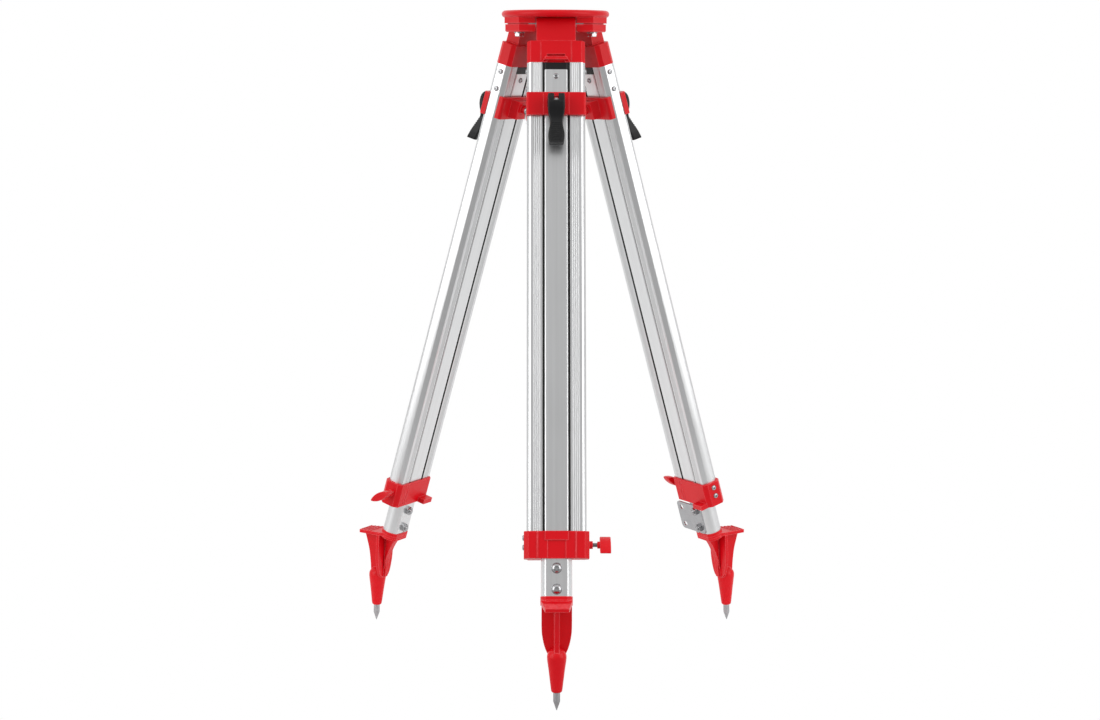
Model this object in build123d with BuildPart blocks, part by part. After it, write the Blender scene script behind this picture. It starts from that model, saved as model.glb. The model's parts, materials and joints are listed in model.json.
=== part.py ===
from build123d import *
import os
from math import cos, radians, sin, sqrt

# Surveyor tripod, millimetres. +Z is up. The origin is the point on the ground below the middle of
# the head, so the three spikes stand on Z = 0. The front leg points to -Y.
#
# A leg is modelled once in its own frame and placed three times. In the leg's frame X runs across
# the leg, Y points inwards to the tripod's axis, Z runs up along the leg, and the origin is the
# middle of the hinge pin. Stations along the leg are given as distances below the pin.

HEAD_HEIGHT = 1004.3        # seat of the head above the ground
SPLAY = 16.86               # angle of each leg from the vertical
HINGE_RADIUS = 52.0         # tripod's axis to hinge pin
PIN_DROP = 20.5             # seat of the head to hinge pin
LEG_TURNS = {"front": 0.0, "right": 120.0, "left": -120.0}
GAP = 0.35                  # air between surfaces that slide past each other
SHAFT_PLAY = 0.06           # radial play of a turning or sliding shaft
ARM_PLAY = 0.3              # air above and below the arm, the carriage and the bush
UPWARDS = (Align.CENTER, Align.CENTER, Align.MIN)
DOWNWARDS = (Align.CENTER, Align.CENTER, Align.MAX)

# Head
PLATE_RADIUS = 82.5
PLATE_THICK = 10.6
RIM_ROUND = 5.0
OPENING_RADIUS = 32.0
SKIRT_LONG_SIDE = 57.2      # axis to the sides that face the legs
SKIRT_SHORT_SIDE = 77.9     # axis to the sides between the legs
SKIRT_DEEP = 9.0
CAP_GAP = 1.5
LAND_INSET = 4.0            # skirt's edge to the land that the caps seat on
CAP_DEEP = 11.6
CAP_INSET = 1.0
HUB_HOLLOW_RADIUS = 44.0
SLOT_HALF = 31.0
PIN_RADIUS = 4.0
PIN_HALF_LENGTH = 41.5
PIN_BORE = PIN_RADIUS + SHAFT_PLAY
PIN_BORE_LONG = 2 * PIN_HALF_LENGTH + 0.4
CAP_BOLT_RADIUS = 64.0      # tripod's axis to cap bolt
M8_RADIUS = 4.0
M8_HOLE = M8_RADIUS + 0.1
M8_DRILL = 60.0             # longer than anything an M8 hole goes through
M8_FLATS = 13.0
M8_NUT_HIGH = 5.3
WASHER_RADIUS = 8.0
WASHER_THICK = 1.6

# Fixing screw under the head
ARM_PIVOT_Y = 45.0
ARM_THICK = 5.0
ARM_SLOT_HALF = 12.3
ARM_TRAVEL = 12.0
ARM_WALL = 5.5              # metal round the arm's slot
ARM_ROOT_RADIUS = 9.0
CARRIAGE_HUB = 12.0
CARRIAGE_LIP = 2.0
CARRIAGE_LIP_RADIUS = 15.0
BUSH_RADIUS = 10.4
BUSH_LIP = 1.5
BUSH_FLANGE = 2.5
COLLAR_RADIUS = 13.0
COLLAR_HIGH = 4.0
SCREW_RADIUS = 7.94         # 5/8 inch instrument thread, outside radius
SCREW_TIP_DROP = 3.0
SCREW_LIFT = 12.0
KNOB_RADIUS = 24.0
KNOB_HIGH = 34.0
KNOB_FLOOR = 6.0
KNOB_FLUTES = 8
KNOB_FLUTE_RADIUS = 6.0
SHANK_RADIUS = 7.4
HOOK_WIRE = 1.6
HOOK_DROP = 9.0
HOOK_BEND = 4.5

# Leg section (Y points inwards, so outer faces are negative)
OUTER_FACE = -11.2
INNER_FACE = 16.4
RAIL_HALF = 43.7            # middle of the leg to the outside of a rail
RAIL_EDGE = 20.0            # middle of the leg to the inside edge of a rail
OUTER_CHAMFER = (5.3, 5.5)
INNER_CHAMFER = (3.5, 7.5)
RAIL_WALL = 1.8
GROOVE_PITCH = 4.5
GROOVE_COUNT = 4
GROOVE_RADIUS = 1.3
GROOVE_DEEP = 0.5
TUBE_HALF = 22.8
TUBE_FLAT_HALF = 15.5
TUBE_HALF_DEEP = 14.0
TUBE_MIDDLE = 2.0           # Y of the tube's middle
TUBE_WALL = 2.0
PLUG_PLAY = 0.1             # air round the plugs in the tube's two ends
TUBE_OUTER_FACE = TUBE_MIDDLE - TUBE_HALF_DEEP
TUBE_INNER_FACE = TUBE_MIDDLE + TUBE_HALF_DEEP

# Stations along the leg
SHOULDER_TOP = 29.5
SHOULDER_BOTTOM = 63.6
TONGUE_END = 110.0
RAIL_SCREWS = (74.8, 101.9)
GUIDE_BOTTOM = 75.0
GUIDE_SCREW = 85.3
JAW_TOP = 111.2
JAW_BOTTOM = 146.1
JAW_BOLT = 126.6
CLAMP_TOP = 767.9
RAIL_END = 795.0
CLAMP_BOTTOM = 807.8
CLAMP_SCREW = 787.3
CLAMP_SIDE_SCREWS = (777.0, 791.0)
FOOT_BOLTS = (821.5, 851.9)
TUBE_END = 866.0

# Spike tip, and the tilt of the foot's cone from the vertical
TIP_STATION = 1024.8
TIP_INWARD = 10.4
CONE_TILT = 2.46

# Pan-head screws
SCREW_HEAD_RADIUS = 4.2
SCREW_HEAD_HIGH = 2.2
SCREW_SHANK = 2.05
SCREW_HOLE = 2.1
DRIVE_SLOT = (2.0, 0.9, 4.4)

# Castings, mouldings and clamps
KNUCKLE_HALF = 29.5
KNUCKLE_RADIUS = 9.6
JAW_HALF = 44.6
JAW_FACE = -16.6
REAR_FACE = 21.5
HAT_FACE = 32.5
HAT_WALL = 3.0
HAT_BOSS_RADIUS = 6.8
BOSS_END = 38.5
BOLT_RADIUS = 3.0
LEVER_PIN_Y = -28.0
LEVER_PIN_RADIUS = 2.0
LEVER_HALF = 12.5
CAM_RADIUS = 10.1
CAM_OFFSET = 1.2
CLAMP_HALF = 47.7
CLAMP_SCREW_RADIUS = 3.5
WING_START = 63.3
WING_LONG = 15.8

# ---------------------------------------------------------------- shared shapes

SIDE_RADIUS = ((TUBE_HALF - TUBE_FLAT_HALF) ** 2 + TUBE_HALF_DEEP**2) / (2 * (TUBE_HALF - TUBE_FLAT_HALF))


def station(distance):
    """Plane across the leg, at a distance below the hinge pin."""
    return Plane.XY.offset(-distance)


def tube_outline(grow=0.0):
    """Section of the inner tube: flat front and back, rounded sides, grown by an amount."""
    flat = TUBE_FLAT_HALF
    low = TUBE_MIDDLE - TUBE_HALF_DEEP
    high = TUBE_MIDDLE + TUBE_HALF_DEEP
    with BuildSketch() as outline:
        with BuildLine():
            Line((-flat, low), (flat, low))
            ThreePointArc((flat, low), (TUBE_HALF, TUBE_MIDDLE), (flat, high))
            Line((flat, high), (-flat, high))
            ThreePointArc((-flat, high), (-TUBE_HALF, TUBE_MIDDLE), (-flat, low))
        make_face()
        if grow:
            offset(amount=grow, kind=Kind.ARC, mode=Mode.REPLACE)
    return outline.sketch


def rail_outline(shrink=0.0):
    """Section of the right rail: chamfered outside, with a cove that holds the tube's side."""
    cove = SIDE_RADIUS + 0.6
    cove_middle = TUBE_HALF - SIDE_RADIUS
    reach = sqrt(cove**2 - (RAIL_EDGE - cove_middle) ** 2)
    low, high = TUBE_MIDDLE - reach, TUBE_MIDDLE + reach
    with BuildSketch() as outline:
        with BuildLine():
            Polyline(
                (RAIL_EDGE, low),
                (RAIL_EDGE, OUTER_FACE),
                (RAIL_HALF - OUTER_CHAMFER[0], OUTER_FACE),
                (RAIL_HALF, OUTER_FACE + OUTER_CHAMFER[1]),
                (RAIL_HALF, INNER_FACE - INNER_CHAMFER[1]),
                (RAIL_HALF - INNER_CHAMFER[0], INNER_FACE),
                (RAIL_EDGE, INNER_FACE),
                (RAIL_EDGE, high),
            )
            ThreePointArc((RAIL_EDGE, high), (cove_middle + cove, TUBE_MIDDLE), (RAIL_EDGE, low))
        make_face()
        if shrink:
            offset(amount=-shrink, kind=Kind.INTERSECTION, mode=Mode.REPLACE)
    return outline.sketch


def leg_outline(grow=0.0):
    """Section of the shoulder: the two rails' chamfered outline without the gap between them."""
    with BuildSketch() as outline:
        Polygon(
            (-RAIL_HALF + OUTER_CHAMFER[0], OUTER_FACE),
            (RAIL_HALF - OUTER_CHAMFER[0], OUTER_FACE),
            (RAIL_HALF, OUTER_FACE + OUTER_CHAMFER[1]),
            (RAIL_HALF, INNER_FACE - INNER_CHAMFER[1]),
            (RAIL_HALF - INNER_CHAMFER[0], INNER_FACE),
            (-RAIL_HALF + INNER_CHAMFER[0], INNER_FACE),
            (-RAIL_HALF, INNER_FACE - INNER_CHAMFER[1]),
            (-RAIL_HALF, OUTER_FACE + OUTER_CHAMFER[1]),
            align=None,
        )
        if grow:
            offset(amount=grow, kind=Kind.INTERSECTION, mode=Mode.REPLACE)
    return outline.sketch


def at_station(sketch, distance):
    """The sketch moved down the leg to a station."""
    return Pos(0, 0, -distance) * sketch


# ---------------------------------------------------------------- head

PLATE_BOTTOM = HEAD_HEIGHT - PLATE_THICK
SKIRT_BOTTOM = PLATE_BOTTOM - SKIRT_DEEP
CAP_TOP = SKIRT_BOTTOM - CAP_GAP
CAP_BOTTOM = CAP_TOP - CAP_DEEP
PIN_HEIGHT = HEAD_HEIGHT - PIN_DROP
BLOCK_TURNS = (90.0, 210.0, 330.0)


def corner_blocks(inset):
    """The three blocks between the hinge slots, inside the six-sided skirt."""
    reach = 4 * PLATE_RADIUS
    with BuildSketch() as blocks:
        Circle(PLATE_RADIUS)
        for turn in LEG_TURNS.values():
            side = SKIRT_LONG_SIDE - inset
            with Locations(Rot(0, 0, turn) * Pos(0, -side - reach / 2)):
                Rectangle(reach, reach, mode=Mode.SUBTRACT)
            with Locations(Rot(0, 0, turn) * Pos(0, -SKIRT_LONG_SIDE)):
                Rectangle(2 * SLOT_HALF, 2 * (SKIRT_LONG_SIDE - 10.0), mode=Mode.SUBTRACT)
        for turn in BLOCK_TURNS:
            side = SKIRT_SHORT_SIDE - inset
            with Locations(Rot(0, 0, turn) * Pos(side + reach / 2, 0)):
                Rectangle(reach, reach, mode=Mode.SUBTRACT)
        Circle(HUB_HOLLOW_RADIUS, mode=Mode.SUBTRACT)
    return blocks.sketch


CAP_BOLT_PLACES = [Rot(0, 0, turn) * Pos(CAP_BOLT_RADIUS, 0, 0) for turn in BLOCK_TURNS]
PIN_PLACES = [Rot(0, 0, turn) * Pos(0, -HINGE_RADIUS, PIN_HEIGHT) for turn in LEG_TURNS.values()]

with BuildPart() as head_plate:
    with BuildSketch(Plane.XZ):
        with BuildLine():
            Polyline(
                (OPENING_RADIUS, HEAD_HEIGHT),
                (PLATE_RADIUS - RIM_ROUND, HEAD_HEIGHT),
            )
            ThreePointArc(
                (PLATE_RADIUS - RIM_ROUND, HEAD_HEIGHT),
                (PLATE_RADIUS, HEAD_HEIGHT - PLATE_THICK / 2),
                (PLATE_RADIUS - RIM_ROUND, PLATE_BOTTOM),
            )
            Polyline(
                (PLATE_RADIUS - RIM_ROUND, PLATE_BOTTOM),
                (OPENING_RADIUS, PLATE_BOTTOM),
                (OPENING_RADIUS, HEAD_HEIGHT),
            )
        make_face()
    revolve(axis=Axis.Z)
    with BuildSketch(Plane.XY.offset(SKIRT_BOTTOM)):
        add(corner_blocks(0.0))
    extrude(amount=SKIRT_DEEP + 0.5)
    with BuildSketch(Plane.XY.offset(CAP_TOP)):
        add(corner_blocks(LAND_INSET))
    extrude(amount=CAP_GAP)
    with Locations(*PIN_PLACES):
        Cylinder(PIN_BORE, PIN_BORE_LONG, rotation=(0, 90, 0), mode=Mode.SUBTRACT)
    with Locations(*[Pos(0, 0, CAP_TOP) * place for place in CAP_BOLT_PLACES]):
        Cylinder(M8_HOLE, 2 * (CAP_GAP + SKIRT_DEEP + 1.0), mode=Mode.SUBTRACT)
head_plate.part.label = "head_plate"

with BuildPart() as hinge_caps:
    with BuildSketch(Plane.XY.offset(CAP_BOTTOM)):
        add(corner_blocks(CAP_INSET))
    extrude(amount=CAP_DEEP)
    chamfer(hinge_caps.faces().group_by(Axis.Z)[0].edges(), length=1.6)
    with Locations(*PIN_PLACES):
        Cylinder(PIN_BORE, PIN_BORE_LONG, rotation=(0, 90, 0), mode=Mode.SUBTRACT)
    with Locations(*[Pos(0, 0, CAP_BOTTOM + CAP_DEEP / 2) * place for place in CAP_BOLT_PLACES]):
        Cylinder(M8_HOLE, CAP_DEEP + 1.0, mode=Mode.SUBTRACT)
hinge_caps.part.label = "hinge_caps"

with BuildPart() as hinge_pins:
    with Locations(*PIN_PLACES):
        Cylinder(PIN_RADIUS, 2 * PIN_HALF_LENGTH, rotation=(0, 90, 0))
hinge_pins.part.label = "hinge_pins"

with BuildPart() as cap_bolts:
    with Locations(*[Pos(0, 0, CAP_BOTTOM) * place for place in CAP_BOLT_PLACES]):
        Cylinder(WASHER_RADIUS, WASHER_THICK, align=DOWNWARDS)
        Cylinder(M8_RADIUS, 22.0, align=UPWARDS)
    with BuildSketch(Plane.XY.offset(CAP_BOTTOM - WASHER_THICK)):
        with Locations(*CAP_BOLT_PLACES):
            RegularPolygon(M8_FLATS / 2, 6, major_radius=False)
    extrude(amount=-M8_NUT_HIGH)
cap_bolts.part.label = "cap_bolts"

# ---------------------------------------------------------------- fixing screw

ARM_TOP = CAP_BOTTOM - 0.8
ARM_BOTTOM = ARM_TOP - ARM_THICK
CARRIAGE_TOP = ARM_TOP + ARM_PLAY + CARRIAGE_LIP
CARRIAGE_BOTTOM = ARM_BOTTOM - ARM_PLAY - CARRIAGE_LIP
BUSH_TOP = CARRIAGE_TOP + 0.2 + BUSH_LIP
THREAD_BOTTOM = BUSH_TOP + 2.0
BUSH_FLANGE_TOP = CARRIAGE_BOTTOM - SCREW_LIFT - ARM_PLAY
BUSH_BOTTOM = BUSH_FLANGE_TOP - BUSH_FLANGE
COLLAR_TOP = BUSH_BOTTOM - ARM_PLAY
KNOB_TOP = COLLAR_TOP - COLLAR_HIGH
KNOB_BOTTOM = KNOB_TOP - KNOB_HIGH
ARM_END_RADIUS = ARM_SLOT_HALF + ARM_WALL
PIVOT_RADIUS = 5.0
PIVOT_HEAD_RADIUS = 8.0
PIVOT_HEAD_HIGH = 3.0


def disc(radius, bottom, top, mode=Mode.ADD):
    """Round slab on the tripod's axis between two heights."""
    with Locations((0, 0, (bottom + top) / 2)):
        Cylinder(radius, top - bottom, mode=mode)


with BuildPart() as swing_arm:
    with BuildSketch(Plane.XY.offset(ARM_BOTTOM)):
        with BuildSketch(mode=Mode.PRIVATE) as ends:
            with Locations((0, -ARM_TRAVEL), (0, ARM_TRAVEL)):
                Circle(ARM_END_RADIUS)
            with Locations((0, ARM_PIVOT_Y)):
                Circle(ARM_ROOT_RADIUS)
        make_hull(ends.sketch.edges())
        SlotCenterToCenter(2 * ARM_TRAVEL, 2 * ARM_SLOT_HALF, rotation=90, mode=Mode.SUBTRACT)
        with Locations((0, ARM_PIVOT_Y)):
            Circle(PIVOT_RADIUS + SHAFT_PLAY, mode=Mode.SUBTRACT)
    extrude(amount=ARM_THICK)
swing_arm.part.label = "swing_arm"

with BuildPart() as arm_pivot:
    with Locations((0, ARM_PIVOT_Y, ARM_BOTTOM - ARM_PLAY)):
        Cylinder(PIVOT_RADIUS, CAP_BOTTOM - ARM_BOTTOM + ARM_PLAY, align=UPWARDS)
        Cylinder(PIVOT_HEAD_RADIUS, PIVOT_HEAD_HIGH, align=DOWNWARDS)
arm_pivot.part.label = "arm_pivot"

with BuildPart() as screw_carriage:
    disc(CARRIAGE_HUB, CARRIAGE_BOTTOM, CARRIAGE_TOP)
    disc(CARRIAGE_LIP_RADIUS, ARM_TOP + ARM_PLAY, CARRIAGE_TOP)
    disc(CARRIAGE_LIP_RADIUS, CARRIAGE_BOTTOM, ARM_BOTTOM - ARM_PLAY)
    disc(BUSH_RADIUS + SHAFT_PLAY, CARRIAGE_BOTTOM - 1, CARRIAGE_TOP + 1, Mode.SUBTRACT)
screw_carriage.part.label = "screw_carriage"

with BuildPart() as screw_bush:
    disc(BUSH_RADIUS, BUSH_BOTTOM, BUSH_TOP)
    disc(BUSH_RADIUS + 1.6, BUSH_TOP - BUSH_LIP, BUSH_TOP)
    disc(BUSH_RADIUS + 4.6, BUSH_BOTTOM, BUSH_FLANGE_TOP)
    disc(SHANK_RADIUS + SHAFT_PLAY, BUSH_BOTTOM - 1, BUSH_TOP + 1, Mode.SUBTRACT)
screw_bush.part.label = "screw_bush"

with BuildPart() as fixing_screw:
    disc(SCREW_RADIUS, THREAD_BOTTOM, HEAD_HEIGHT - SCREW_TIP_DROP)
    chamfer(fixing_screw.edges().group_by(Axis.Z)[-1], length=1.2)
    disc(SHANK_RADIUS, KNOB_BOTTOM + KNOB_FLOOR, THREAD_BOTTOM)
    disc(COLLAR_RADIUS, KNOB_TOP, COLLAR_TOP)
fixing_screw.part.label = "fixing_screw"

with BuildPart() as screw_knob:
    with BuildSketch(Plane.XY.offset(KNOB_BOTTOM)):
        Circle(KNOB_RADIUS)
        with PolarLocations(KNOB_RADIUS + 3.0, KNOB_FLUTES):
            Circle(KNOB_FLUTE_RADIUS, mode=Mode.SUBTRACT)
    extrude(amount=KNOB_HIGH)
    disc(SHANK_RADIUS, KNOB_BOTTOM + KNOB_FLOOR, KNOB_TOP + 1, Mode.SUBTRACT)
    disc(HOOK_WIRE + 0.05, KNOB_BOTTOM - 1, KNOB_BOTTOM + KNOB_FLOOR, Mode.SUBTRACT)
screw_knob.part.label = "screw_knob"

with BuildPart() as plumb_hook:
    with BuildLine():
        Line((0, 0, KNOB_BOTTOM + KNOB_FLOOR), (0, 0, KNOB_BOTTOM - HOOK_DROP))
        ThreePointArc(
            (0, 0, KNOB_BOTTOM - HOOK_DROP),
            (0, HOOK_BEND, KNOB_BOTTOM - HOOK_DROP - HOOK_BEND),
            (0, 2 * HOOK_BEND, KNOB_BOTTOM - HOOK_DROP),
        )
        Line((0, 2 * HOOK_BEND, KNOB_BOTTOM - HOOK_DROP), (0, 2 * HOOK_BEND, KNOB_BOTTOM - HOOK_DROP + 3.0))
    with BuildSketch(Plane.XY.offset(KNOB_BOTTOM + KNOB_FLOOR)):
        Circle(HOOK_WIRE)
    sweep()
plumb_hook.part.label = "plumb_hook"

# ---------------------------------------------------------------- leg: hinge casting and rails

LOOP_HALF = 13.5
LOOP_TOP = 53.6
LOOP_SLOT = 2.9
LOOP_PROUD = 6.5
LOOP_BAR = 2.6
LOOP_RECESS = 3.8
SHOULDER_POCKET = (37.0, 17.5, 29.0)    # hollow in the shoulder's underside

with BuildPart() as hinge_casting:
    with BuildSketch(station(SHOULDER_BOTTOM)):
        add(leg_outline())
    extrude(amount=SHOULDER_BOTTOM - SHOULDER_TOP)
    fillet(hinge_casting.faces().group_by(Axis.Z)[-1].edges(), radius=1.5)
    with BuildSketch(Plane.YZ):
        Circle(KNUCKLE_RADIUS)
        Polygon(
            (-KNUCKLE_RADIUS, 0),
            (-KNUCKLE_RADIUS - 0.6, -SHOULDER_TOP - 6),
            (13.0, -SHOULDER_TOP - 6),
            (11.0, -16),
            (KNUCKLE_RADIUS, 0),
            align=None,
        )
    extrude(amount=KNUCKLE_HALF, both=True)
    with BuildSketch(Plane.XZ.offset(-OUTER_FACE - LOOP_RECESS)):
        Polygon(
            (-22, -SHOULDER_BOTTOM),
            (22, -SHOULDER_BOTTOM),
            (LOOP_HALF + 4.0, -LOOP_TOP),
            (-LOOP_HALF - 4.0, -LOOP_TOP),
            align=None,
        )
    extrude(amount=LOOP_PROUD + LOOP_RECESS, taper=16)
    with Locations((0, OUTER_FACE - LOOP_PROUD + LOOP_BAR, -SHOULDER_BOTTOM - 1)):
        Box(
            2 * LOOP_HALF,
            LOOP_PROUD - LOOP_BAR + LOOP_RECESS,
            SHOULDER_BOTTOM + 1 - LOOP_TOP + LOOP_SLOT,
            align=(Align.CENTER, Align.MIN, Align.MIN),
            mode=Mode.SUBTRACT,
        )
    for side in (False, True):
        tongue = at_station(rail_outline(RAIL_WALL + 0.15), TONGUE_END)
        tongue = extrude(tongue, amount=TONGUE_END - SHOULDER_BOTTOM, mode=Mode.PRIVATE)
        add(mirror(tongue, about=Plane.YZ, mode=Mode.PRIVATE) if side else tongue)
    with Locations((0, INNER_FACE - 3.0, -SHOULDER_BOTTOM)):
        Box(*SHOULDER_POCKET, align=(Align.CENTER, Align.MAX, Align.MIN), mode=Mode.SUBTRACT)
    with Locations(*[(0, TUBE_MIDDLE, -s) for s in RAIL_SCREWS]):
        Cylinder(SCREW_HOLE, 2 * RAIL_HALF, rotation=(0, 90, 0), mode=Mode.SUBTRACT)
    Cylinder(PIN_RADIUS + SHAFT_PLAY, 2 * KNUCKLE_HALF + 1, rotation=(0, 90, 0), mode=Mode.SUBTRACT)
hinge_casting.part.label = "hinge_casting"

RAIL_LONG = RAIL_END - SHOULDER_BOTTOM
groove_xs = [RAIL_EDGE + 3.0 + GROOVE_PITCH * k for k in range(GROOVE_COUNT)]
groove_lift = GROOVE_RADIUS - GROOVE_DEEP

with BuildPart() as side_rails:
    with BuildSketch(station(RAIL_END)):
        add(rail_outline())
        add(rail_outline(RAIL_WALL), mode=Mode.SUBTRACT)
        with Locations(*[(x, OUTER_FACE - groove_lift) for x in groove_xs]):
            Circle(GROOVE_RADIUS, mode=Mode.SUBTRACT)
        with Locations(*[(x, INNER_FACE + groove_lift) for x in groove_xs]):
            Circle(GROOVE_RADIUS, mode=Mode.SUBTRACT)
    extrude(amount=RAIL_LONG)
    mirror(about=Plane.YZ)
    with Locations(*[(x, TUBE_MIDDLE, -s) for s in RAIL_SCREWS for x in (-RAIL_HALF, RAIL_HALF)]):
        Cylinder(SCREW_HOLE, 6.0, rotation=(0, 90, 0), mode=Mode.SUBTRACT)
    with Locations((CLAMP_HALF / 2 + 10, TUBE_MIDDLE, -CLAMP_SCREW)):
        Cylinder(CLAMP_SCREW_RADIUS + 0.5, 50.0, rotation=(0, 90, 0), mode=Mode.SUBTRACT)
    with Locations(*[(-RAIL_HALF, TUBE_MIDDLE, -s) for s in CLAMP_SIDE_SCREWS]):
        Cylinder(SCREW_HOLE, 6.0, rotation=(0, 90, 0), mode=Mode.SUBTRACT)
side_rails.part.label = "side_rails"



def side_screw(depth, side=1):
    """Pan-head screw along X: its head starts at x = 0 and its shank runs inwards."""
    with BuildPart() as screw:
        with BuildSketch(Plane.XZ):
            with BuildLine():
                Polyline(
                    (-depth, 0), (-depth, SCREW_SHANK), (0, SCREW_SHANK),
                    (0, SCREW_HEAD_RADIUS), (0.5, SCREW_HEAD_RADIUS),
                )
                ThreePointArc((0.5, SCREW_HEAD_RADIUS), (1.7, 2.6), (SCREW_HEAD_HIGH, 0))
                Line((SCREW_HEAD_HIGH, 0), (-depth, 0))
            make_face()
        revolve(axis=Axis.X)
        with Locations((SCREW_HEAD_HIGH, 0, 0)):
            Box(*DRIVE_SLOT, mode=Mode.SUBTRACT)
            Box(*DRIVE_SLOT, rotation=(90, 0, 0), mode=Mode.SUBTRACT)
    return screw.part if side > 0 else mirror(screw.part, about=Plane.YZ)


rail_screw = {side: side_screw(12.0, side) for side in (-1, 1)}
clamp_side_screw = side_screw(5.5, -1)
guide_screw = Rot(0, 0, -90) * side_screw(6.0)

with BuildPart() as rail_screws:
    for s in RAIL_SCREWS:
        for side, screw in rail_screw.items():
            add(Pos(side * RAIL_HALF, TUBE_MIDDLE, -s) * screw)
    for s in CLAMP_SIDE_SCREWS:
        add(Pos(-CLAMP_HALF, TUBE_MIDDLE, -s) * clamp_side_screw)
rail_screws.part.label = "rail_screws"

# ---------------------------------------------------------------- leg: lower clamp and its screw

CLAMP_FRONT = -16.6
CLAMP_REAR = 19.0
CLAMP_LONG = CLAMP_BOTTOM - CLAMP_TOP
CLAMP_FLAT = CLAMP_HALF - 6.6    # middle to the start of a bevelled corner
FRONT_BLOCK = (34.0, 4.0, 13.0)
FRONT_RECESS = (26.5, 4.4, 28.0)
RIDGE = (1.6, 2.4, CLAMP_LONG - 2.5)
RIDGE_X = 28.0
BOSS_OUT = 52.7
BOSS_RADIUS = 5.75
LUG_X = -30.0
LUG_WIDE = 24.0
LUG_HIGH = 8.0
LUG_TIP = 31.0

with BuildPart() as lower_clamp:
    with BuildSketch(station(CLAMP_BOTTOM)):
        with BuildLine():
            ThreePointArc((-CLAMP_FLAT, -14.6), (0, CLAMP_FRONT), (CLAMP_FLAT, -14.6))
            Polyline(
                (CLAMP_FLAT, -14.6),
                (CLAMP_HALF, -8.5),
                (CLAMP_HALF, 12.0),
                (CLAMP_FLAT, CLAMP_REAR),
                (-CLAMP_FLAT, CLAMP_REAR),
                (-CLAMP_HALF, 12.0),
                (-CLAMP_HALF, -8.5),
                (-CLAMP_FLAT, -14.6),
            )
        make_face()
    extrude(amount=CLAMP_LONG)
    fillet(lower_clamp.edges().filter_by(Axis.Z, reverse=True), radius=1.0)
    with Locations((0, CLAMP_FRONT + 0.6, -CLAMP_TOP - FRONT_BLOCK[2] / 2)):
        Box(*FRONT_BLOCK)
    with Locations((0, CLAMP_FRONT - 1.0, -CLAMP_TOP - FRONT_BLOCK[2] - FRONT_RECESS[2] / 2)):
        Box(*FRONT_RECESS, mode=Mode.SUBTRACT)
    with Locations(*[(x, CLAMP_FRONT + 1.2, -(CLAMP_TOP + CLAMP_BOTTOM) / 2) for x in (-RIDGE_X, RIDGE_X)]):
        Box(*RIDGE)
    with Locations((LUG_X, CLAMP_REAR, -CLAMP_BOTTOM + LUG_HIGH / 2)):
        Box(LUG_WIDE, 2 * (LUG_TIP - CLAMP_REAR), LUG_HIGH)
    with Locations((CLAMP_HALF - 2.0, TUBE_MIDDLE, -CLAMP_SCREW)):
        Cylinder(BOSS_RADIUS, BOSS_OUT - CLAMP_HALF + 2.0, rotation=(0, 90, 0), align=UPWARDS)
    add(extrude(at_station(leg_outline(0.02), RAIL_END), amount=50, mode=Mode.PRIVATE), mode=Mode.SUBTRACT)
    add(
        extrude(at_station(tube_outline(0.4), CLAMP_BOTTOM + 1), amount=50, mode=Mode.PRIVATE),
        mode=Mode.SUBTRACT,
    )
    with Locations((BOSS_OUT, TUBE_MIDDLE, -CLAMP_SCREW)):
        Cylinder(CLAMP_SCREW_RADIUS + SHAFT_PLAY, 70.0, rotation=(0, 90, 0), mode=Mode.SUBTRACT)
    with Locations(*[(-CLAMP_HALF, TUBE_MIDDLE, -s) for s in CLAMP_SIDE_SCREWS]):
        Cylinder(SCREW_HOLE, 12.0, rotation=(0, 90, 0), mode=Mode.SUBTRACT)
lower_clamp.part.label = "lower_clamp"

with BuildPart() as clamp_screw:
    with Locations((TUBE_HALF + GAP, TUBE_MIDDLE, -CLAMP_SCREW)):
        Cylinder(
            CLAMP_SCREW_RADIUS,
            WING_START + 8.0 - TUBE_HALF - GAP,
            rotation=(0, 90, 0),
            align=UPWARDS,
        )
clamp_screw.part.label = "clamp_screw"

WING_TILT = radians(42.0)
WING_HALF_LONG = 19.0
WING_THICK = 7.0
WING_TIP_ROUND = 1.2
WING_HUB_RADIUS = 5.2
WING_NECK = 4.0             # hub's length outside the wing
WING_PLANE = Plane(
    origin=(WING_START, TUBE_MIDDLE, -CLAMP_SCREW), x_dir=(0, cos(WING_TILT), sin(WING_TILT)), z_dir=(1, 0, 0)
)

with BuildPart() as wing_knob:
    with BuildSketch(WING_PLANE):
        with BuildLine():
            ThreePointArc((-WING_HALF_LONG, 0), (0, WING_THICK / 2), (WING_HALF_LONG, 0))
            ThreePointArc((WING_HALF_LONG, 0), (0, -WING_THICK / 2), (-WING_HALF_LONG, 0))
        make_face()
        fillet(vertices(), radius=WING_TIP_ROUND)
    extrude(amount=WING_LONG)
    with Locations((WING_START - WING_NECK, TUBE_MIDDLE, -CLAMP_SCREW)):
        Cylinder(WING_HUB_RADIUS, 15.0, rotation=(0, 90, 0), align=UPWARDS)
    with Locations((WING_START - 5.0, TUBE_MIDDLE, -CLAMP_SCREW)):
        Cylinder(
            CLAMP_SCREW_RADIUS,
            13.0,
            rotation=(0, 90, 0),
            align=UPWARDS,
            mode=Mode.SUBTRACT,
        )
wing_knob.part.label = "wing_knob"

# ---------------------------------------------------------------- leg: extension

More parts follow.
